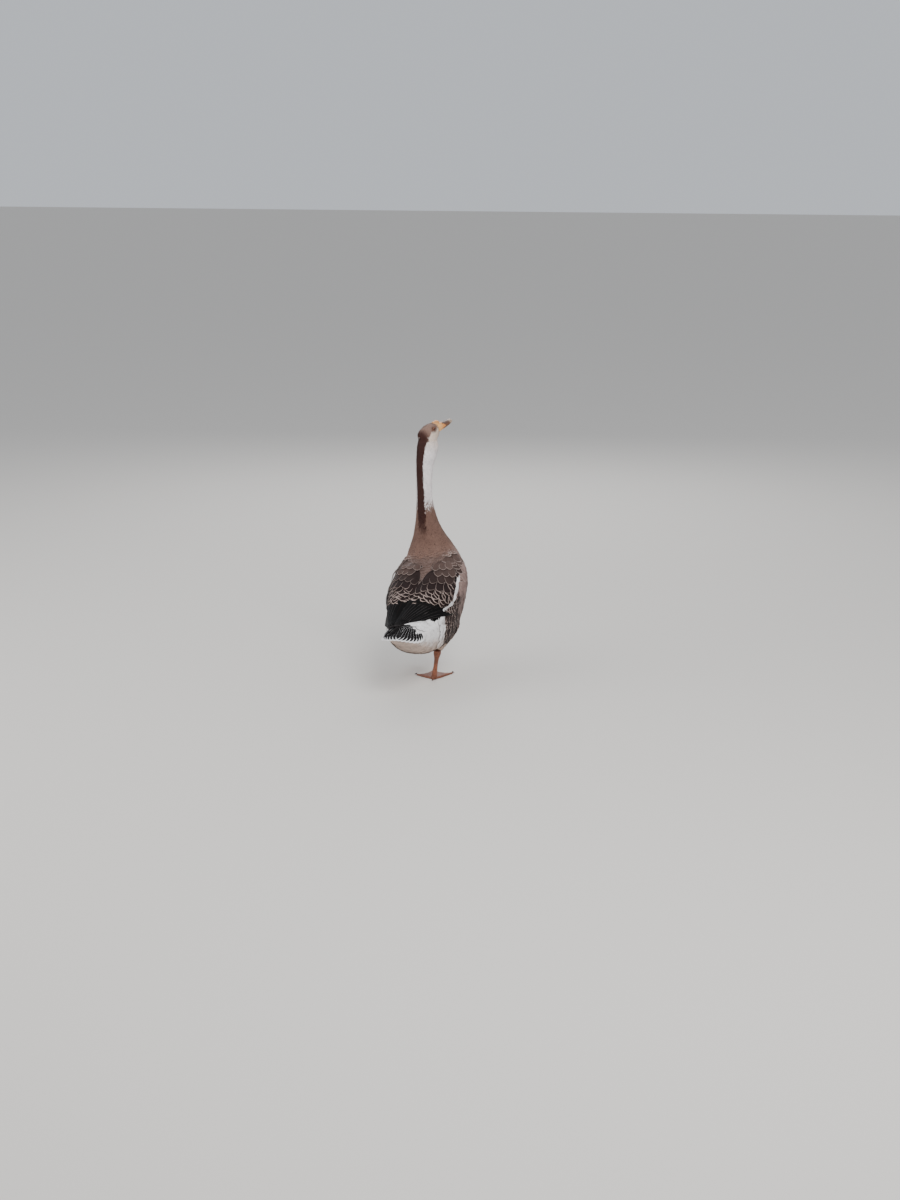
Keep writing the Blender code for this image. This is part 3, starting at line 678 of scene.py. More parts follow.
def grow(name, tree, root, heading, length, width, tones, *, lift, rows, half_columns=2, tip=0.40, point=2.0,
         camber=0.05, cling=True, curve=0.0, unwrap, solid=0.0, patch=SMALL_PATCH, ragged=0.0):
    """Feathers that grow from their roots along their headings and lie on the surface of a tree.

    tip and point shape the rounded end, and curve bends the feather to a side.
    """
    count = len(root)
    steps = np.linspace(0, 1, rows + 1) ** 0.85
    across = columns_across(2 * half_columns + 1)
    length, width, curve = (np.broadcast_to(x, (count,)) for x in (length, width, curve))
    here, normal = press(tree, root)
    way = unit(heading - normal * dot(heading, normal))
    shafts = []
    for stride in np.diff(steps, prepend=0.0):
        if stride:
            here, normal = press(tree, here + way * (length * stride)[:, None])
        turned = way + np.cross(normal, way) * (curve * stride)[:, None]
        way = unit(turned - normal * dot(turned, normal))
        shafts.append((here, np.cross(way, normal), normal))
    shafts = [np.stack(values, 1) for values in zip(*shafts)]
    outline = NARROW + (1 - NARROW) * np.sin(math.pi / 2 * np.minimum(1, steps / 0.55))
    # Each column of a vane ends earlier the further it is from the shaft, which rounds the tip.
    fray = 1 - ragged * np.abs(RANDOM.normal(0, 1, (count, 1, len(across))))
    along = steps[None, :, None] * (1 - tip * np.abs(across) ** point) * fray
    lay_vanes(name, shafts, steps, along, across, np.broadcast_to(outline, (count, rows + 1)), width,
              tones, tree=tree if cling else None, lift=lift, camber=camber, length=length, solid=solid,
              unwrap=unwrap, patch=patch)


def grow_between(name, path, normal, width, tones, raised, unwrap, broad, tree, replaced):
    """Long closed vanes along given paths, laid on a surface if there is one. The broad ones end bluntly."""
    steps = np.linspace(0, 1, path.shape[1])
    across = columns_across(9)
    side = unit(np.cross(unit(np.gradient(path, axis=1)), normal))
    broad = broad[:, None]
    blunt = 0.6 + 0.4 * np.sin(math.pi / 2 * np.minimum(1, steps / 0.5))
    pointed = 0.75 + 0.25 * np.sin(math.pi / 2 * np.minimum(1, steps / 0.4))
    pointed = pointed - 0.45 * ease((steps - 0.55) / 0.45)
    tip, point = (np.where(broad, *pair)[..., None] for pair in ((0.16, 0.20), (2.2, 1.3)))
    along = steps[None, :, None] * (1 - tip * np.abs(across) ** point)
    lay_vanes(name, (path, side, normal), steps, along, across, np.where(broad, blunt, pointed), width, tones,
              tree=tree, lift=(-0.003, raised), camber=0.008, length=0.1, solid=LONG_THICKNESS, unwrap=unwrap,
              patch=LONG_PATCH, replaced=replaced)


def jitter(count, spread):
    return RANDOM.normal(0.0, spread, count)


ROOTS, ROOT_TONES = [], []


def remember(root, tone):
    """Keep the roots' places and colours, which the skin takes up."""
    ROOTS.append(root)
    ROOT_TONES.append(np.broadcast_to(tone, root.shape))


def varied(root, tone, spread=0.07):
    """Remember the roots, and make each feather a little lighter or darker than the next."""
    remember(root, tone)
    return tone * (1 + RANDOM.normal(0, spread, (len(root), 1)))


def along_curve(points):
    """How far along a run of points each one lies."""
    return np.concatenate(([0], np.cumsum(np.linalg.norm(np.diff(points, axis=0), axis=1))))


def staggered(t_from, t_to, pitch_along, pitch_across):
    """Places in rows round the tube, each row set off by half a step from the one before."""
    t_all, angle_all = [], []
    t, row = t_from, 0
    while t < t_to:
        here = np.array([t])
        step = np.linalg.norm(centre_unshifted(here + 0.01)[0] - centre_unshifted(here)[0]) / 0.01
        spin = np.linspace(0, 2 * math.pi, 241)
        reach = along_curve(body_point(np.full(len(spin), t), spin))
        along, across = (pitch(t) if callable(pitch) else pitch for pitch in (pitch_along, pitch_across))
        number = max(6, round(reach[-1] / across))
        places = (np.arange(number) + 0.5 * (row % 2)) / number * reach[-1]
        t_all.append(np.full(number, t))
        angle_all.append(np.interp(places, reach, spin))
        t += along / step
        row += 1
    return np.concatenate(t_all), np.concatenate(angle_all)


def uncovered(root, allowance):
    """Which roots are not inside another part of the body."""
    place, normal = nearest(FORM_TREE, root)
    return (dot(root - place, normal)[:, 0] > -allowance) | (np.linalg.norm(root - place, axis=1) < allowance)


def back_off(t, angle):
    """The direction towards the tail along the tube."""
    return unit(body_point(t - 0.05, angle) - body_point(t + 0.05, angle))


def blend(share, first, second):
    share = np.clip(share, 0, 1)
    share = share[:, None] if share.ndim == 1 else share
    return first * (1 - share) + second * share


def off_middle(angle, middle):
    """Degrees between an angle and a middle, from -180 to 180."""
    return (np.degrees(angle) - middle + 180) % 360 - 180


def off_back(angle):
    return np.abs(off_middle(angle, 90))


def unwrap_share(share):
    """A share of the way over a surface as a place on its unwrap, clear of the map's edge."""
    return 0.03 + 0.94 * share


def unwrap_tube(t, angle, t_from, t_to):
    shares = (angle / (2 * math.pi) % 1.0, (t - t_from) / (t_to - t_from))
    return np.stack([unwrap_share(share) for share in shares], 1)


# ---------------------------------------------------------------- markings

# Degrees of the dark stripe to each side of the nape, near and under the head.
NAPE_HALF_TOP, NAPE_FLARE = 43, 18


def nape_share(t, angle, wander=0.0):
    """1 on the dark stripe down the nape, 0 on the rest of the neck."""
    middle = 90 + 12 * ease((12.5 - t) / 2.5)
    half = 31 + (NAPE_HALF_TOP - 31) * ease((t - 12.5) / 3) - 15 * ease((11.0 - t) / 1.6)
    half = half + NAPE_FLARE * ease((t - 15.0) / 0.9)
    away = np.abs(off_middle(angle, middle)) + wander
    return ease((half - away) / 5 + 0.5) * ease((t - 8.7 + wander * 0.12) / 1.8)


def wing_border(t):
    """Degrees above the side at which the flank feathers meet the folded wing."""
    return np.interp(t, (3.4, 3.9, 4.65, 5.4, 6.2, 7.0, 7.6), (16, 22, 29, 37, 38, 30, 12))


def markings(t, angle, wander):
    """Colour and edge colour of the feathers of neck and body."""
    raised = 90 - off_back(angle)
    down = np.abs(off_middle(angle, 270))
    tone = MANTLE_BROWN
    between_shoulders = ease((t - 4.4) / 0.8) * ease((raised - 45) / 15)
    edge_tone = blend(0.85 * between_shoulders, EDGE_PALE, MANTLE_BROWN * 1.3)
    # flanks and belly; the belly's beige is painted shade on white
    side = ease((wing_border(t) + 8 - raised) / 8)
    tone = blend(side, tone, FLANK_MAUVE)
    edge_tone = blend(side, edge_tone, FLANK_MAUVE * 1.35)
    rear = side * ease((5.5 - t) / 0.9 + wander * 0.08)
    tone = blend(rear, tone, FLANK_DARK)
    edge_tone = blend(rear, edge_tone, EDGE_PALE)
    belly = ease((58 - down) / 42 + wander * 0.12)
    tone = blend(belly, tone, UNDERSIDE_SHADED_BEIGE)
    edge_tone = blend(belly, edge_tone, UNDERSIDE_SHADED_BEIGE * 1.12)
    # white round the root of the tail, greying to beige lower down as painted shade, with black above it
    # beside the wing
    reach = np.interp(raised, (-90, -60, -40, 14, 24, 90), (2.2, 3.0, 3.55, 3.45, 2.7, 2.3))
    white = ease((reach - t) / 0.22 + 0.5 + wander * 0.10)
    vent = blend(0.85 * ease((-raised - 10 + 3 * wander) / 38), VENT_WHITE, UNDERSIDE_SHADED_BEIGE * 1.05)
    tone = blend(white, tone, vent)
    edge_tone = blend(white, edge_tone, vent * 1.08)
    spot = ease((t - reach - 0.02) / 0.12 + 0.5) * ease((4.1 - t) / 0.2) * ease((raised - 7) / 5)
    spot = spot * ease((60 - raised) / 10)
    tone = blend(spot, tone, QUILL_BLACK)
    edge_tone = blend(spot, edge_tone, QUILL_BLACK * 3)
    # breast and neck
    breast = ease((t - 7.5) / 1.1 + wander * 0.1)
    front = ease((t - 4.6 + wander * 0.15) / 2.8) * ease((78 - down) / 40)
    fawn = np.maximum(breast, front)
    tone = blend(fawn, tone, BREAST_FAWN)
    edge_tone = blend(fawn, edge_tone, BREAST_FAWN * (1.45 - 0.25 * ease((t - 7.6) / 1.5))[:, None])
    pale = ease((t - 10.75) / 0.7 + wander * 0.22)
    tone = blend(pale, tone, NECK_WHITE)
    tone = blend(ease((t - 14.3) / 1.4), tone, THROAT_CREAM)
    edge_tone = blend(pale, edge_tone, NECK_WHITE * 1.05)
    nape = nape_share(t, angle, wander * 1.6)
    brown = blend(ease((9.9 - t) / 1.0), NAPE_BROWN, BREAST_FAWN * 0.62)
    return blend(nape, tone, brown), blend(nape, edge_tone, brown * 1.35)


def head_markings(place, wander):
    """Colour of the head's feathers by their place in the head's own axes."""
    across, ahead, up = place.T
    # The hood's lower edge runs from the bill through the eye and then down to the nape's stripe.
    edge_height = 0.0070 - 0.020 * ease((-ahead - 0.004) / 0.040) + 0.0010 * wander
    hood = ease((up - edge_height) / 0.004 + 0.5)
    level_back = -(ahead * math.cos(HEAD_PITCH) - up * math.sin(HEAD_PITCH)) - EYE_AHEAD
    round_neck = np.degrees(np.arctan2(np.abs(across), level_back)) + 1.5 * wander
    stripe = ease((NAPE_HALF_TOP + NAPE_FLARE - round_neck) / 5 + 0.5) * ease((-ahead - 0.006) / 0.006)
    hood = np.maximum(hood, stripe)
    tone = blend(hood, THROAT_CREAM, CROWN_BROWN)
    tone = blend(hood * ease((-ahead - 0.012) / 0.026), tone, NAPE_BROWN * 1.15)
    band = ease((ahead - 0.0195 - 0.0006 * wander) / 0.003)
    tone = blend(band, tone, FACE_CREAM)
    lore = ease(1.5 - np.hypot((ahead - 0.004) / 0.0105, (up - 0.0085) / 0.0080))
    return blend(lore * 0.75, tone, NAPE_BROWN * 1.4)


# ---------------------------------------------------------------- feathers of body, neck and head

BODY_END, NECK_START = 1.02, 8.4
BODY_PITCH, FLANK_PITCH = (0.0082, 0.0088), (0.0135, 0.0145)  # along and across
HEAD_ROOT_PITCH = 0.0016
BODY_EDGE, HEAD_EDGE = (0.24, 0.132), (0.30, 0.15)
WING_CLEARANCE = 0.0046  # feathers nearer than this to the outside of a wing's flights are left out
MANTLE_CLEARANCE = 0.0010  # the same between the shoulders


def clear_of_wings(root, heading, length, clearance=WING_CLEARANCE):
    """True for feathers that don't reach through the outside of a folded wing."""
    clear = np.ones(len(root), bool)
    for surface in WING_SURFACES.values():
        for share in (0.0, 0.5, 1.0):
            ahead = root + unit(heading) * (length * share)[:, None]
            clear &= np.linalg.norm(ahead - nearest(surface, ahead)[0], axis=1) > clearance
    return clear


def body_feathers():
    """Contour feathers of back, rump, breast and belly."""
    size = 1.0
    t, angle = staggered(BODY_END, NECK_START, *(pitch * size for pitch in BODY_PITCH))
    t = t + jitter(len(t), 0.03)
    angle = angle + jitter(len(t), 0.012)
    root = body_point(t, angle)
    below_tail = ((t > 1.25) & (off_back(angle) > 50)) | (off_back(angle) > 100)
    keep = uncovered(root, 0.003) & ((t > 1.65) | below_tail)
    t, angle, root = t[keep], angle[keep], root[keep]
    count = len(t)
    heading = back_off(t, angle)
    heading = heading + np.cross(heading, UP) * jitter(count, 0.10)[:, None]
    length = 0.021 + 0.009 * ease((4.6 - t) / 2.0) + 0.004 * ease((120 - off_back(angle)) / 60)
    length = length * (1 + jitter(count, 0.07))
    width = length * 0.71 * (1 + jitter(count, 0.05))
    clearance = np.interp(t, (4.6, 5.4), (WING_CLEARANCE, MANTLE_CLEARANCE))
    clear = clear_of_wings(root, heading, length, clearance)
    t, angle, root, heading, length, width = (x[clear] for x in (t, angle, root, heading, length, width))
    count = len(t)
    tone, edge_tone = markings(t, angle, jitter(count, 1))
    tones = (varied(root, tone, 0.05), edge_tone, BODY_EDGE)
    grow("body_feathers", FORM_TREE, root, heading, length, width, tones,
         lift=(-0.0022, 0.0002 + jitter(count, 0.0002)), rows=5, half_columns=4, curve=jitter(count, 0.25),
         unwrap=unwrap_tube(t, angle, BODY_END, NECK_START), tip=0.38, ragged=0.05)


def flank_feathers(side):
    """Broad soft feathers of a flank, with a white line of them over the lower edge of the folded wing."""
    t, angle = staggered(3.25, 7.7, *FLANK_PITCH)
    t = t + jitter(len(t), 0.03)
    raised = 90 - off_back(angle)
    own_side = np.cos(angle) * -side > 0
    keep = own_side & (raised < wing_border(t) - 3) & (raised > -38)
    line = np.arange(5.65, 3.45, -0.17)
    border = np.radians(wing_border(line) - 1)
    white = np.append(np.zeros(keep.sum()), np.ones(len(line)))
    t = np.append(t[keep], line)
    angle = np.append(angle[keep], border if side < 0 else math.pi - border)
    root = nearest(FORM_TREE, body_point(t, angle, 0.02))[0]
    count = len(t)
    heading = back_off(t, angle)
    rear = ease((5.6 - t) / 1.2)
    heading = heading - UP * (0.10 * rear)[:, None] + np.cross(heading, UP) * jitter(count, 0.06)[:, None]
    length = (0.034 + 0.016 * rear) * (1 + jitter(count, 0.06))
    width = length * (0.52 - 0.06 * rear) * (1 - 0.38 * white)
    length = length * (1 - 0.16 * white)
    tone, edge_tone = markings(t, angle, jitter(count, 1))
    tone = blend(white * 0.85, tone, VENT_WHITE)
    edge_tone = blend(white, edge_tone, VENT_WHITE * 1.08)
    edge = np.stack((0.12 + 0.05 * rear, 0.045 + 0.015 * rear), 1)
    tones = (varied(root, tone, 0.06), edge_tone, edge)
    low = -0.0010 + 0.001 * rear + 0.0008 * white
    high = 0.0019 + 0.0020 * rear + 0.0008 * white + jitter(count, 0.0003)
    grow(f"flank_feathers_{SIDE_NAMES[side]}", FORM_TREE, root, heading, length, width, tones,
         lift=(low, high), rows=7, half_columns=3, curve=jitter(count, 0.25),
         unwrap=unwrap_tube(t, angle, 3.0, 8.0), tip=0.36, ragged=0.06)


def neck_feathers():
    """Short, narrow feathers that lie in fine rows down the neck."""
    size = 1.0
    t, angle = staggered(NECK_START, NECK_TOP, lambda t: size * (0.0066 - 0.0030 * ease((t - 9) / 3)),
                         lambda t: size * (0.0052 - 0.0026 * ease((t - 9) / 3)))
    t = t + jitter(len(t), 0.02)
    angle = angle + jitter(len(t), 0.02)
    root = body_point(t, angle)
    # The top rows would come through the nape of the neck and of the turned head, so they stay at the throat.
    throat = (off_back(angle) > 75) & (np.abs(off_middle(angle, 90 + math.degrees(HEAD_TURN))) > 75)
    keep = uncovered(root, 0.0035) & ((t < NECK_TOP - 0.2) | throat)
    t, angle, root = t[keep], angle[keep], root[keep]
    count = len(t)
    heading = back_off(t, angle) + body_frame(t)[1] * jitter(count, 0.07)[:, None]
    up = ease((t - 9) / 3)
    length = (0.0180 - 0.0085 * up) * (1 + jitter(count, 0.08))
    width = (0.0080 - 0.0044 * up) * (1 + jitter(count, 0.08))
    tone, edge_tone = markings(t, angle, jitter(count, 1))
    tones = (varied(root, tone, 0.09), edge_tone, BODY_EDGE)
    grow("neck_feathers", FORM_TREE, root, heading, length, width, tones,
         lift=(-0.0012, 0.0002 + jitter(count, 0.00012)), rows=4, curve=jitter(count, 0.2),
         unwrap=unwrap_tube(t, angle, NECK_START, NECK_TOP), tip=0.45, cling=False)


def head_feathers():
    """The smallest feathers, from the edge of the bill back over the head."""
    p_all, angle_all = [], []
    for row, p in enumerate(np.arange(0.05, HEAD_END - 0.02, 0.38 * HEAD_ROOT_PITCH / 0.0023)):
        _, half_width, crown, throat = spline(HEAD_SECTIONS, np.array([p]))[0]
        girth = math.pi * (half_width + (crown + throat) / 2)
        number = max(8, round(girth / HEAD_ROOT_PITCH))
        angle_all.append((np.arange(number) + 0.5 * (row % 2)) / number * 2 * math.pi)
        p_all.append(np.full(number, p))
    p, angle = np.concatenate(p_all), np.concatenate(angle_all)
    p = p + jitter(len(p), 0.05)
    root = head_point(np.clip(p, 0.02, HEAD_END - 0.01), angle + jitter(len(p), 0.03))
    own = head_place(root)
    keep = uncovered(root, 0.0028)
    for eye in EYES.values():
        keep &= np.linalg.norm(root - eye, axis=1) > EYE_RADIUS * 1.06
    p, angle, root, own = p[keep], angle[keep], root[keep], own[keep]
    count = len(p)
    behind = ease((0.004 - own[:, 1]) / 0.040)
    low = ease((0.006 - own[:, 2]) / 0.030)
    down = np.clip(0.15 + 0.85 * behind + 0.35 * low, 0, 1)[:, None]
    neck = -body_frame(np.array([15.0]))[3][0]
    heading = unit(-HEAD_AHEAD * (1 - down) + neck * down)
    face = ease((own[:, 1] - 0.004) / 0.022)
    length = (0.0064 - 0.0022 * face + 0.0012 * face * low) * (1 + jitter(count, 0.08))
    width = (0.0034 - 0.0007 * face + 0.0010 * face * low) * (1 + jitter(count, 0.08))
    tone = head_markings(own, jitter(count, 1))
    place = [unwrap_share(share) for share in (angle / (2 * math.pi) % 1.0, np.clip(p / HEAD_END, 0, 1))]
    grow("head_feathers", FORM_TREE, root, heading, length, width,
         (varied(root, tone, 0.09), tone * 1.25, HEAD_EDGE), lift=(-0.0006, 0.0002 + jitter(count, 0.00006)),
         rows=3, camber=0.04, curve=jitter(count, 0.2), unwrap=np.stack(place, 1), tip=0.45)


THIGH_PITCH = 0.0062


def thigh_feathers(side):
    """Soft feathers over a thigh, down to the bare shank."""
    low, high = box_of(f"thigh_{side}")
    inside = np.all((FORM_POINTS > low - 0.002) & (FORM_POINTS < high + 0.002), axis=1)
    found = FORM_POINTS[inside]
    place, normal = nearest(TUBE_TREE, found)
    found = found[dot(found - place, normal)[:, 0] > 0.001]
    kept = []
    for point in found[RANDOM.permutation(len(found))]:
        if not kept or np.min(np.linalg.norm(np.array(kept) - point, axis=1)) > THIGH_PITCH:
            kept.append(point)
    root = np.array(kept)
    root = root[np.argsort(root[:, 2])]
    count = len(root)
    heading = unit(box_of(f"shank_{side}").mean(axis=0) - root) + np.array((0, 0.35, 0))
    length = (0.014 + 0.006 * ease((root[:, 2] - 0.10) / 0.06)) * (1 + jitter(count, 0.08))
    # The thighs take the underside's beige of painted shade, a tenth darker.
    tone = UNDERSIDE_SHADED_BEIGE * 0.9
    grow(f"thigh_feathers_{side}", FORM_TREE, root, heading, length, length * 0.5,
         (varied(root, tone), tone * 1.1, (0.25, 0.12)), lift=(-0.0016, 0.0006), rows=4,
         curve=jitter(count, 0.3), unwrap=0.05 + 0.9 * (root[:, 1:] - low[1:]) / (high[1:] - low[1:]),
         ragged=0.05)


# ---------------------------------------------------------------- feathers of wings and tail


def wing_way(side, u, v):
    """The direction towards the tip of the folded wing."""
    return unit(wing_place(side, u + 0.01, v) - wing_place(side, u, v))


def wing_rows(side, rows, pitch_across, v_from, v_to):
    """Staggered places on the wing in rows given by their share of its length."""
    u_all, v_all = [], []
    for number, u in enumerate(rows):
        v = np.linspace(0, 1, 60)
        reach = along_curve(wing_place(side, np.full(len(v), u), v))
        low, high = (np.interp(x(u) if callable(x) else x, v, reach) for x in (v_from, v_to))
        count = max(2, int((high - low) / pitch_across) + 1)
        places = low + (np.arange(count) + 0.5 * (number % 2)) * pitch_across
        places = places[places <= high + pitch_across * 0.3]
        v_all.append(np.interp(places, reach, v))
        u_all.append(np.full(len(places), u))
    return np.concatenate(u_all), np.concatenate(v_all)


def unwrap_wing(u, v):
    return np.stack((0.04 + 0.92 * np.clip(v, 0, 1), 0.04 + 0.92 * np.clip(u, 0, 1)), 1)


def border_share(side, u):
    """Where across the wing its lower part goes under the flank feathers."""
    t = wing_station(u)
    low, top = (np.degrees(np.asarray(x)) for x in wing_span(side, np.asarray(u, float)))
    return np.clip((wing_border(t) - 14 + 6 * ease((t - 5.8) / 0.8) - low) / (top - low), 0, 1)


ROW_SLANT = 0.14  # how much further back the inner end of a row lies
COVERT_PITCH, COVERT_WIDTH = 0.0185, 0.0262


def lesser_coverts(side):
    """Broad feathers in even rows over the shoulder and the middle of the wing, with pale tips."""
    def lowest(u):
        return max(0.17 * ease((u - 0.34) / 0.10), float(border_share(side, max(u, 0))))

    u, v = wing_rows(side, np.arange(-0.05, 0.62, 0.0345), COVERT_PITCH, lowest, 0.98)
    u = u + ROW_SLANT * (v - 0.5) + jitter(len(u), 0.0015)
    under_scapulars = (np.abs(u - 0.33) <= 0.15) & (v >= 0.56 + 0.5 * np.maximum(0, 0.30 - u))
    keep = (u > 0.012) & (u < 0.56) & ((u > 0.035) | (v < 0.75)) & ~under_scapulars
    u, v = u[keep], v[keep]
    root = wing_place(side, u, v)
    count = len(u)
    length = (0.031 + 0.012 * ease((u - 0.05) / 0.2)) * (1 + jitter(count, 0.03))
    tone = blend(0.4 * ease((v - 0.55) / 0.3), COVERT_BROWN, SCAPULAR_BROWN)
    tone = blend(ease((0.24 - u) / 0.20) * 0.9, tone, MANTLE_BROWN * 0.85)
    under_flank = ease((border_share(side, u) + 0.12 - v) / 0.05) * ease((0.42 - u) / 0.05)
    tone = blend(under_flank, tone, FLANK_MAUVE)
    grow(f"wing_coverts_{SIDE_NAMES[side]}", WING_SURFACES[side], root, wing_way(side, u, v), length,
         COVERT_WIDTH, (varied(root, tone), EDGE_PALE, (0.045, 0.060)),
         lift=(-0.0030, 0.0010 + jitter(count, 0.0003)), rows=7, half_columns=4, curve=jitter(count, 0.15),
         unwrap=unwrap_wing(u, v), tip=0.17, point=2.2, ragged=0.02, camber=0.012)


def greater_coverts(side):
    """Broader rows in front of the flight feathers."""
    u, v = wing_rows(side, (0.520, 0.475), COVERT_PITCH, 0.17, 0.90)
    u = u + 0.8 * ROW_SLANT * (v - 0.5)
    root = wing_place(side, u, v)
    count = len(u)
    length = 0.060 * (1 + jitter(count, 0.04))
    grow(f"greater_coverts_{SIDE_NAMES[side]}", WING_SURFACES[side], root, wing_way(side, u, v), length,
         length * 0.44, (varied(root, COVERT_BROWN * 0.8), EDGE_PALE, (0.05, 0.050)),
         lift=(-0.0024, 0.0008 + jitter(count, 0.0003)), rows=8, half_columns=3, curve=jitter(count, 0.1),
         unwrap=unwrap_wing(u, v), tip=0.26, point=2.4, ragged=0.02, camber=0.015)


# Share of the wing's length, innermost place, length, width, strength of the pale edge, number.
SCAPULAR_ROWS = (
    (0.170, 0.925, 0.044, 0.024, 0.9, 3),
    (0.230, 0.935, 0.056, 0.028, 0.7, 3),
    (0.300, 0.960, 0.072, 0.032, 0.5, 4),
    (0.385, 0.985, 0.090, 0.036, 0.9, 6),
)
SCAPULAR_PITCH = 0.105  # share of the wing's breadth


def scapulars(side):
    """Long plain feathers from the shoulder over the inner half of the wing."""
    table = []
    for row, (u, inner, length, width, pale, most) in enumerate(SCAPULAR_ROWS):
        for number in range(most):
            v = inner - (number + 0.5 * (row % 2)) * SCAPULAR_PITCH
            table.append((u + 0.15 * (v - 0.9), v, length * (1 - 0.04 * number), width, pale))
    u, v, length, width, pale = (np.array(column) for column in zip(*table[::-1]))
    root = wing_place(side, u, v)
    tone = blend(0.75 * ease((0.34 - u) / 0.22), SCAPULAR_BROWN, MANTLE_BROWN)
    front = ease((0.32 - u) / 0.10)
    edge = np.stack((0.055 + 0.01 * front, 0.023 + 0.021 * front), 1)
    raised = np.linspace(0.0018, 0.0044, len(u))
    grow(f"scapulars_{SIDE_NAMES[side]}", WING_SURFACES[side], root, wing_way(side, u, v), length, width,
         (varied(root, tone, 0.04), blend(pale, tone * 1.3, EDGE_PALE), edge), lift=(raised - 0.0035, raised),
         rows=14, half_columns=6, unwrap=unwrap_wing(u, v), tip=0.34, solid=0.0003, patch=LONG_PATCH,
         ragged=0.006, camber=0.012)


PRIMARIES, SECONDARIES = 9, 10


def flight_feathers(side):
    """Tertials and secondaries over the long primaries that end in the wing's tip."""
    rows = []
    for i in range(PRIMARIES):  # the longest lowest
        share = i / (PRIMARIES - 1)
        rows.append((0.56 + 0.02 * share, 0.05 + 0.66 * share, 1.0 - 0.17 * share, 0.0180,
                     -0.0030 + 0.0004 * i, 0))
    for i in range(SECONDARIES):
        share = i / (SECONDARIES - 1)
        reach = 0.72 + 0.15 * math.sin(math.pi * (0.12 + 0.55 * share))
        rows.append((0.47, -0.14 + 1.06 * share, reach, 0.030, -0.0010 + 0.0006 * i, 1))
    u, v, end, width, raised, broad = (np.array(column) for column in zip(*rows))
    aim = np.where(broad, v, 0.35)
    stops = [wing_place(side, u + (end - u) * k, v + (aim - v) * k**1.5) for k in np.linspace(0, 1, 14)]
    tone = QUILL_BLACK * np.where(broad, 1.0, 1.5)[:, None]
    edge_tone = EDGE_GREY * np.where(broad, 1.0, 1.2)[:, None]
    for stop in stops[:10]:
        remember(stop, tone)
    path = np.stack(stops, 1)
    surface = WING_SURFACES[side]
    grow_between(f"flight_feathers_{SIDE_NAMES[side]}", path, nearest(surface, path)[1], width,
                 (tone, edge_tone, (0.07, 0.012)), raised, unwrap_wing(u, v), broad, surface,
                 (f"wingtip_{SIDE_NAMES[side]}",))


def tail_feathers():
    """A fan of stiff feathers with broad white ends, the middle pair on top."""
    centre, right, back, ahead = (x[0] for x in body_frame(np.array([TAIL_ROOT]))[:4])
    root = centre + back * 0.039 + ahead * 0.012
    behind = unit(-ahead * math.cos(TAIL_RISE) + back * math.sin(TAIL_RISE))
    over = np.cross(right, -behind)
    across = (np.arange(TAIL_FEATHERS) + 0.5) / TAIL_FEATHERS * 2 - 1
    turn = (TAIL_HALF_ANGLE * across)[:, None]
    out = 0.004 + (TAIL_LENGTH * (1 - 0.24 * across**2))[:, None] * np.linspace(0, 1, 14)[None, :]
    arch = -0.30 * (out * np.sin(turn)) ** 2 / 0.05
    path = root + behind * (out * np.cos(turn))[..., None] + right * (out * np.sin(turn) * 0.92)[..., None]
    path = path + over * arch[..., None]
    way = unit(np.gradient(path, axis=1))
    tilt = unit(over + right * (0.6 * across)[:, None])[:, None]
    normal = unit(tilt - way * dot(tilt, way))
    edge = np.stack((0.012 + 0.03 * np.abs(across), 0.055 + 0.015 * np.abs(across)), 1)
    remember(path[:, 0], VENT_WHITE)
    places = np.stack((0.5 + 0.4 * across, np.full(TAIL_FEATHERS, 0.5)), 1)
    grow_between("tail_feathers", path, normal, np.full(TAIL_FEATHERS, 0.0245),
                 (TAIL_DARK, VENT_WHITE * 1.05, edge), 0.0035 - 0.0042 * np.abs(across), places,
                 np.ones(TAIL_FEATHERS), None, ("tail",))


TAIL_COVERT_ROWS = (  # station, degrees to each side, number, length
    (2.50, 62, 14, 0.034),
    (2.25, 60, 13, 0.038),
    (2.02, 58, 12, 0.042),
    (1.80, 56, 12, 0.034),
)


def tail_coverts():
    """White feathers over the root of the tail."""
    table = []
    for row, (t, spread, number, length) in enumerate(TAIL_COVERT_ROWS):
        for i in range(number):
            table.append((t, 90 + spread * (2 * (i + 0.5 * (row % 2)) / (number - 0.5) - 1), length))
    t, angle, length = (np.array(column) for column in zip(*table[::-1]))
    angle = np.radians(angle)
    root = body_point(t, angle)
    clear = clear_of_wings(root, back_off(t, angle), length)
    t, angle, length, root = t[clear], angle[clear], length[clear], root[clear]
    count = len(t)
    last = ease((2.1 - t) / 0.2)
    grow("tail_coverts", TUBE_TREE, root, back_off(t, angle), length * (1 + jitter(count, 0.06)),
         length * 0.55, (varied(root, VENT_WHITE, 0.03), VENT_WHITE * 1.05, (0.2, 0.1)),
         lift=(-0.002, 0.0030 + 0.0030 * last), rows=7, half_columns=3, curve=jitter(count, 0.2),
         unwrap=unwrap_tube(t, angle, 0.0, 3.0), tip=0.34, ragged=0.05)


body_feathers()
for wing_side in SIDE_NAMES:
    flank_feathers(wing_side)
for leg_side in SIDE_NAMES.values():
    thigh_feathers(leg_side)
neck_feathers()
head_feathers()
tail_feathers()
tail_coverts()
for wing_side in SIDE_NAMES:
    flight_feathers(wing_side)
    greater_coverts(wing_side)
    lesser_coverts(wing_side)
    scapulars(wing_side)

# ---------------------------------------------------------------- bill, eyes, legs and claws


def tone_material(name, roughness, bump_scale, bump_strength, level=0.5, spots=0.12):
    """A hard or horny finish in the piece's own painted tones, with fine pores and a slight mottle."""
    n = Nodes(name)
    place = n.object_place()
    mottle = n.ramp(n.noise(place, 160.0, 5.0, 0.6), 0.3, 0.7, 1 - spots, 1 + spots)
    grain = n.noise(place, bump_scale, 4.0, 0.6)
    n.bump(grain, bump_strength, 0.0005)
    rough = n.ramp(grain, 0.3, 0.7, roughness - 0.06, roughness + 0.08)
    return n.set(Base_Color=n.shaded(n.attribute("Tone"), mottle), Roughness=rough, Specular_IOR_Level=level)


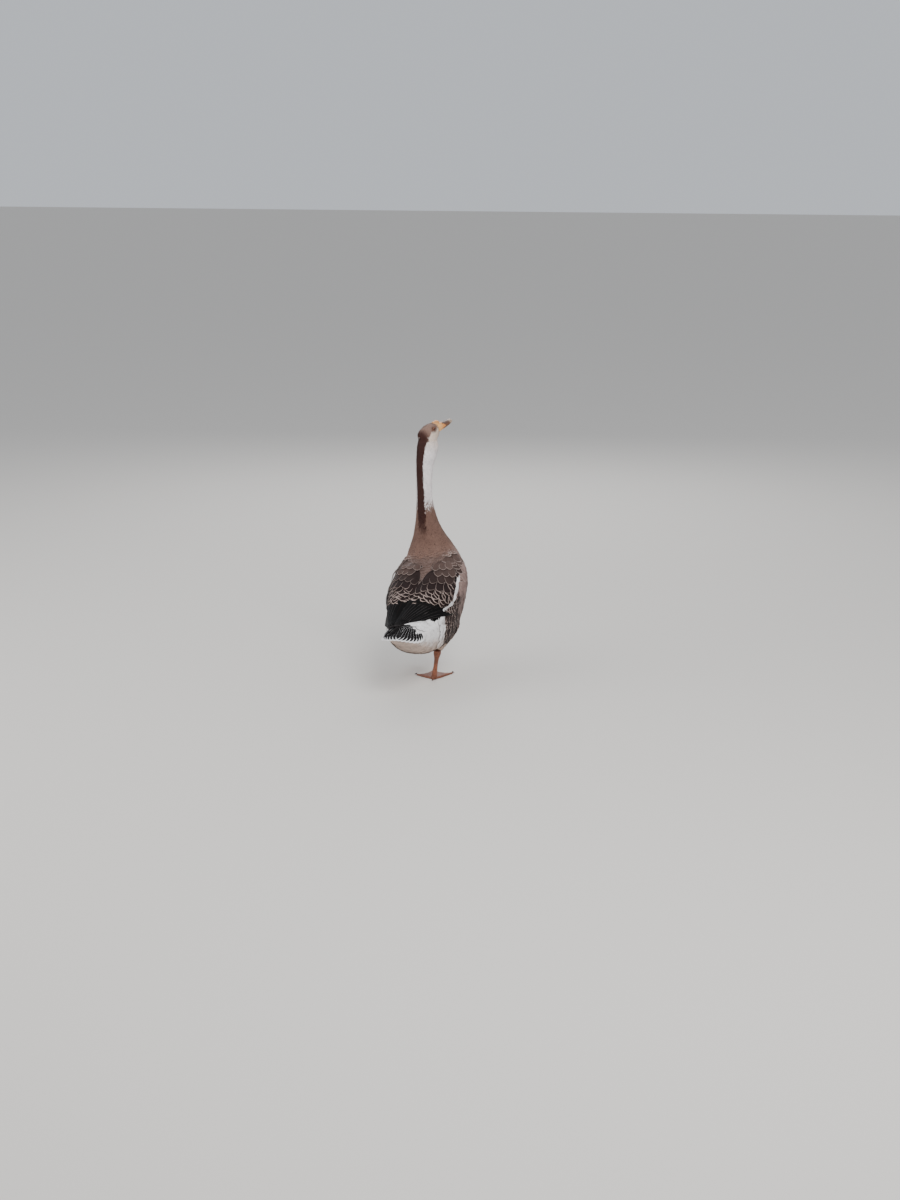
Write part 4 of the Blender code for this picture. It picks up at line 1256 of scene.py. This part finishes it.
BILL_FINISH = tone_material("bill_horn", 0.42, 500.0, 0.30)
LEG_FINISH = tone_material("leg_scales", 0.50, 900.0, 0.35, level=0.45, spots=0.22)
CLAW_FINISH = tone_material("claw_horn", 0.38, 600.0, 0.25)

BILL_ORANGE = colour(214, 140, 72)
BILL_YELLOW = colour(222, 168, 104)
KNOB_ORANGE = colour(196, 132, 76)
BILL_DARK = colour(62, 44, 40)
BILL_TIP = colour(166, 146, 128)
LEG_ORANGE = colour(146, 88, 62)
LEG_DARK = colour(70, 38, 29)
CLAW_DARK = colour(44, 36, 34)
PUPIL_BLACK, IRIS_BROWN, EYE_RIM = colour(8, 6, 6), colour(84, 44, 22), colour(18, 12, 10)
LID_ORANGE, LID_BROWN = colour(150, 98, 66), colour(86, 60, 50)


def face_place(points):
    """Points in the face's own axes: across, ahead of the face and up."""
    return head_place(points) - np.array((0, FACE_AHEAD, 0))


def from_face(own):
    return HEAD_MIDDLE + (own + np.array((0, FACE_AHEAD, 0))) @ HEAD_AXES.T


def smooth_copy(nodes, name, voxel, rounds, swell=0.0, reach_back=()):
    """Copies of CAD nodes swollen a little, melted into one and smoothed.

    reach_back says how far ahead of the face the points lie that are moved, and how far back they go.
    """
    obj = join([copy_of(node, name) for node in nodes], name)
    settle(obj)
    points = points_of(obj.data) + normals_of(obj.data) * swell
    if reach_back:
        own = face_place(points)
        own[:, 1] -= np.where(own[:, 1] < reach_back[0], reach_back[1], 0.0)
        points = from_face(own)
    place_points(obj.data, points)
    apply_modifier(obj, "REMESH", mode="VOXEL", voxel_size=voxel)
    apply_modifier(obj, "SMOOTH", factor=0.5, iterations=rounds)
    return obj


def blotches(points, scale, seed):
    """Soft seeded noise over points, about -1 to 1."""
    draw = np.random.default_rng(seed)
    total = np.zeros(len(points))
    for k in range(8):
        way = unit(draw.normal(0, 1, 3))
        total += np.sin(points @ way * scale * (1 + 0.5 * k) + draw.uniform(0, 6.28)) / (1 + 0.35 * k)
    return total / 2.6


BILL_VOXEL, FINE_VOXEL = 0.0006, 0.0004
BILL_LENGTH = 0.066
NOSTRIL = (0.0235, 0.0062)  # ahead of the face and above its middle
NOSTRIL_SIZE = (0.0046, 0.0016)


def bill_tones(own, upper):
    """Yellow-orange at the base, dark along the middle, pale before the dark tip."""
    along = own[:, 1] / BILL_LENGTH
    noise = blotches(own, 420.0, 5)
    tone = blend(ease((along - 0.12) / 0.2), BILL_YELLOW, BILL_ORANGE)
    ridge = ease((own[:, 2] - 0.004 + 0.012 * along) / 0.006)
    if upper:
        dark = ease((along - 0.26 - 0.10 * (1 - ridge) + noise * 0.05) / 0.14) * (0.90 + 0.10 * ridge)
    else:
        # The lower bill is dark for its own dark horn and for painted shade under the bill.
        dark = ease((along - 0.20 + noise * 0.05) / 0.14) * 0.94
    tone = blend(dark * 0.94, tone, BILL_DARK)
    pale = ease((along - 0.70 + noise * 0.03) / 0.08) * ease((0.93 - along) / 0.06)
    tone = blend(pale * 0.75, tone, BILL_TIP)
    return blend(ease((along - 0.90) / 0.06), tone, CLAW_DARK * 1.3)


def upper_bill():
    """The upper bill with its nostrils, groove and fine ridges, melted into the knob."""
    obj = smooth_copy(("bill_upper", "knob"), "bill_upper_and_knob", BILL_VOXEL, 4, 0.0002, (0.0012, 0.005))
    own = face_place(points_of(obj.data))
    ahead = (own[:, 1] - NOSTRIL[0]) / NOSTRIL_SIZE[0]
    up = (own[:, 2] - NOSTRIL[1] + 0.12 * (own[:, 1] - NOSTRIL[0])) / NOSTRIL_SIZE[1]
    hole = ease(1.35 - np.hypot(ahead, up))
    rim = ease(2.1 - np.hypot(ahead, up)) * (1 - hole)
    own[:, 0] -= np.sign(own[:, 0]) * (0.0022 * hole - 0.0004 * rim)
    # a groove above the cutting edge, and fine ridges on the edge itself
    lowest = -0.0035 - 0.0015 * np.sin(math.pi * np.clip(own[:, 1] / BILL_LENGTH, 0, 1))
    over_edge = own[:, 2] - lowest
    groove = np.exp(-(((over_edge - 0.0034) / 0.0009) ** 2)) * ease((0.056 - own[:, 1]) / 0.01)
    side = np.sign(own[:, 0]) * ease(np.abs(own[:, 0]) / 0.004)
    own[:, 0] -= side * 0.0005 * groove
    teeth = ease((0.0022 - over_edge) / 0.0008) * np.maximum(0, np.sin(own[:, 1] * 2 * math.pi / 0.0017))
    own[:, 0] += side * 0.00035 * teeth * ease((0.052 - own[:, 1]) / 0.01)
    place_points(obj.data, from_face(own))
    # The nostrils are painted nearly black, as painted shade inside their openings.
    tone = blend(hole, bill_tones(own, True), BILL_DARK * 0.25)
    knob = ease((own[:, 2] - 0.0135 + 0.35 * own[:, 1]) / 0.004) * ease((0.018 - own[:, 1]) / 0.005)
    tone = blend(knob * (0.75 + 0.25 * ease(blotches(own, 900.0, 9))), tone, KNOB_ORANGE)
    set_colour(obj.data, "Tone", tone)
    finish(obj, BILL_FINISH, "bill", "bill_upper", "knob")


def lower_bill():
    obj = smooth_copy(("bill_lower",), "bill_lower_horn", BILL_VOXEL, 3, 0.0001, (0.0012, 0.005))
    set_colour(obj.data, "Tone", bill_tones(face_place(points_of(obj.data)), False))
    finish(obj, BILL_FINISH, "bill", "bill_lower")


def nail():
    obj = smooth_copy(("bill_nail",), "bill_nail_horn", FINE_VOXEL, 4, 0.0004, (0.0585, 0.0015))
    ahead = face_place(points_of(obj.data))[:, 1]
    set_colour(obj.data, "Tone", blend(ease((ahead - 0.0600) / 0.004), BILL_TIP, CLAW_DARK * 1.2))
    finish(obj, CLAW_FINISH, "bill", "bill_nail")


LID_OPENING = (0.0047, 0.0040)  # half length and half height of the eye's opening
LID_END = math.radians(112)  # angle from the gaze at which the lids end in the skin
# Heights of a lid over the ball, by the share of the way out from the opening.
LID_SHARES = (0, 0.05, 0.13, 0.25, 0.36, 0.50, 1.0)
LID_HEIGHTS = (-0.0002, 0.00055, 0.00085, 0.00060, 0.00085, 0.00070, 0.00050)


def gaze_axes(side):
    """Where an eye looks, and the directions along and across its lids."""
    out = HEAD_RIGHT * (1 if side == "right" else -1)
    gaze = unit(out + HEAD_AHEAD * 0.22 + HEAD_UP * 0.10)
    along = unit(HEAD_AHEAD - gaze * np.dot(HEAD_AHEAD, gaze))
    return gaze, along, np.cross(gaze, along) * (1 if side == "right" else -1)


def round_eye(side, polar, spin, radius):
    """Points round an eye, at an angle from its gaze and turned about it."""
    gaze, along, over = gaze_axes(side)
    parts = (np.cos(polar), np.sin(polar) * np.cos(spin), np.sin(polar) * np.sin(spin))
    way = sum(part[..., None] * axis for part, axis in zip(parts, (gaze, along, over)))
    return EYES[side] - gaze * EYE_SINK + way * radius[..., None]


def eye_material():
    n = Nodes("eye")
    return n.set(Base_Color=n.attribute("Tone"), Roughness=0.15, Specular_IOR_Level=0.25, Coat_Weight=0.5,
                 Coat_Roughness=0.02)


def eyeball(side, material):
    """A dark brown eye with a black pupil, whose front bulges a little."""
    polar, spin = rings(np.linspace(0.0005, math.pi - 0.0005, 40), 56)
    bulge = EYE_RADIUS * (1 + 0.035 * np.exp(-((polar / 0.5) ** 2)))
    ball = closed_form(f"eyeball_{side}", round_eye(side, polar, spin, bulge))
    angle = np.degrees(polar).ravel()
    tone = blend(ease((angle - 17) / 3), PUPIL_BLACK, IRIS_BROWN)
    set_colour(ball.data, "Tone", blend(ease((angle - 36) / 5), tone, EYE_RIM))
    finish(ball, material, "eyes", f"eye_{side}")


def eyelids(side):
    """A rim that stands on the ball round the opening and falls away to the skin."""
    share = np.linspace(0, 1, 12)[:, None]
    spin = np.linspace(0, 2 * math.pi, 64, False)[None, :]
    opening = 1 / np.hypot(np.cos(spin) / LID_OPENING[0], np.sin(spin) / LID_OPENING[1])
    corner = 1 + 0.16 * np.abs(np.cos(spin)) ** 10
    start = np.arcsin(opening * corner / EYE_RADIUS)
    polar = start + (LID_END - start) * share**1.2
    points = round_eye(side, polar, spin, EYE_RADIUS + np.interp(share, LID_SHARES, LID_HEIGHTS))
    quads = grid_quads(*polar.shape, around=True)[:, (0, 3, 2, 1)]
    if side == "left":
        quads = quads[:, ::-1]
    lid = mesh_from_arrays(f"lids_{side}", points.reshape(-1, 3), quads)
    tone = blend(ease((share - 0.16) / 0.2), LID_ORANGE, LID_BROWN)
    set_colour(lid.data, "Tone", np.repeat(tone, spin.size, 0))
    return lid


def point_tree(points):
    tree = KDTree(len(points))
    for i, point in enumerate(points):
        tree.insert(point, i)
    tree.balance()
    return tree


def scale_middles(points, size, draw):
    """A random choice of points that keep nearly a scale's size apart."""
    cells = {}
    middles = []
    steps = [(dx, dy, dz) for dx in (-1, 0, 1) for dy in (-1, 0, 1) for dz in (-1, 0, 1)]
    for p in points[draw.permutation(len(points))]:
        x, y, z = (p // size).astype(int)
        near = [q for dx, dy, dz in steps for q in cells.get((x + dx, y + dy, z + dz), ())]
        if all(np.dot(q - p, q - p) > (size * 0.9) ** 2 for q in near):
            cells.setdefault((x, y, z), []).append(p)
            middles.append(p)
    return middles


def scales(obj, size, depth, light, dark, seed):
    """Raised scales with grooves between them in the mesh; the grooves are also darkened in the tones as
    painted shade.
    """
    points, normals = points_of(obj.data), normals_of(obj.data)
    draw = np.random.default_rng(seed)
    middles = scale_middles(points, size, draw)
    tree = point_tree(middles)
    gap = np.empty(len(points))
    which = np.empty(len(points), int)
    for i, p in enumerate(points.tolist()):
        first, second = tree.find_n(p, 2)
        gap[i] = (second[2] - first[2]) / size
        which[i] = first[1]
    groove = 1 - ease(gap / 0.30)
    place_points(obj.data, points + normals * (depth * (0.5 - groove))[:, None])
    shade = draw.normal(0, 0.10, len(middles))[which]
    stain = ease(0.5 + 0.9 * blotches(points, 60.0, seed))
    tone = blend(0.45 * stain, light, dark) * (1 + shade)[:, None]
    # The grooves are darkened towards the dark tone as painted shade.
    set_colour(obj.data, "Tone", np.clip(blend(groove * 0.7, tone, dark), 0, 1))


LEG_VOXEL = 0.0009
SCALE_SIZE, SCALE_DEPTH = 0.0032, 0.0005


def leg(side, seed):
    """A scaled shank and foot, and the claws of its four toes."""
    obj = smooth_copy((f"shank_{side}", f"foot_{side}"), f"scaled_leg_{side}", LEG_VOXEL, 3, 0.0002)
    scales(obj, SCALE_SIZE, SCALE_DEPTH, LEG_ORANGE, LEG_DARK, seed)
    finish(obj, LEG_FINISH, "legs", f"shank_{side}", f"foot_{side}")
    for toe in ("hind", "inner", "middle", "outer"):
        claw = smooth_copy((f"claw_{toe}_{side}",), f"horn_claw_{toe}_{side}", FINE_VOXEL, 3)
        height = points_of(claw.data)[:, 2]
        top = ease((height - height.min()) / (np.ptp(height) + 1e-6))
        set_colour(claw.data, "Tone", blend(top * 0.4, CLAW_DARK, LEG_DARK))
        finish(claw, CLAW_FINISH, "claws", f"claw_{toe}_{side}")


upper_bill()
lower_bill()
nail()
EYE_FINISH = eye_material()
for eye_side in EYES:
    eyeball(eye_side, EYE_FINISH)
LIDS = [eyelids(eye_side) for eye_side in EYES]
for leg_seed, leg_side in enumerate(SIDE_NAMES.values(), 20):
    leg(leg_side, leg_seed)

# ---------------------------------------------------------------- skin

# Depth of the coat by the distance from the middle of the head.
COAT_DISTANCES = (0.045, 0.09, 0.30, 0.42)
COAT_DEPTHS = (0.0008, 0.0018, 0.0022, 0.0032)


def make_skin():
    """The outer form, drawn in by the coat's depth, in the feathers' colours."""
    points = points_of(FORM.data)
    normals = normals_of(FORM.data)
    head = np.linalg.norm(points - HEAD_MIDDLE, axis=1)
    depth = np.interp(head, COAT_DISTANCES, COAT_DEPTHS)
    place_points(FORM.data, points - normals * depth[:, None])
    tones = np.concatenate(ROOT_TONES)
    tree = point_tree(np.concatenate(ROOTS).tolist())
    own = np.array([np.mean([tones[hit[1]] for hit in tree.find_n(p, 3)], axis=0) for p in points.tolist()])
    set_colour(FORM.data, "Tone", own * 0.8)
    finish(join([FORM, *LIDS], "skin"), SKIN, "plumage", *FLESH)


make_skin()

# ---------------------------------------------------------------- room

LIGHTS = (  # name, place, power in watts, size
    ("key_light", (-1.8, 2.6, 3.4), 150, 2.0),
    ("fill_light", (2.6, 1.2, 2.0), 45, 2.6),
    ("front_light", (0.5, -3.0, 2.4), 50, 2.4),
)
LIGHTS_AIM = Vector((0, 0, 0.35))
FLOOR_GREY = (0.66, 0.63, 0.59)
SKY, SKY_STRENGTH = (0.80, 0.84, 0.90, 1), 0.75


def room():
    deselect()
    bpy.ops.mesh.primitive_plane_add(size=60, location=(0, -2, 0))
    ground = bpy.context.object
    ground.name = "floor"
    ground.data.materials.append(Nodes("floor").set(Base_Color=FLOOR_GREY, Roughness=0.9))
    for name, place, power, size in LIGHTS:
        bpy.ops.object.light_add(type="AREA", location=place)
        light = bpy.context.object
        light.name = name
        light.data.energy = power
        light.data.size = size
        light.rotation_euler = (LIGHTS_AIM - Vector(place)).to_track_quat("-Z", "Y").to_euler()
    world = bpy.data.worlds.new("studio")
    bpy.context.scene.world = world
    world.use_nodes = True
    background = world.node_tree.nodes["Background"]
    background.inputs[0].default_value = SKY
    background.inputs[1].default_value = SKY_STRENGTH


room()

CAMERA_TURN, CAMERA_PITCH = math.radians(13), math.radians(14.634)
CAMERA_PLACE = np.array((-1.2616, 5.1586, 1.62)) + SHIFT
CAMERA_LENS, CAMERA_SENSOR = 54, 36


def add_camera():
    bpy.ops.object.camera_add(location=CAMERA_PLACE)
    camera = bpy.context.object
    camera.name = "camera"
    level = np.array((math.sin(CAMERA_TURN), -math.cos(CAMERA_TURN), 0.0))
    ahead = level * math.cos(CAMERA_PITCH) - UP * math.sin(CAMERA_PITCH)
    right = np.cross(level, UP)
    axes = Matrix(np.column_stack((right, np.cross(right, ahead), -ahead)).tolist())
    camera.rotation_euler = axes.to_euler()
    camera.data.sensor_fit = "VERTICAL"
    camera.data.sensor_height = CAMERA_SENSOR
    camera.data.lens = CAMERA_LENS
    bpy.context.scene.camera = camera


add_camera()
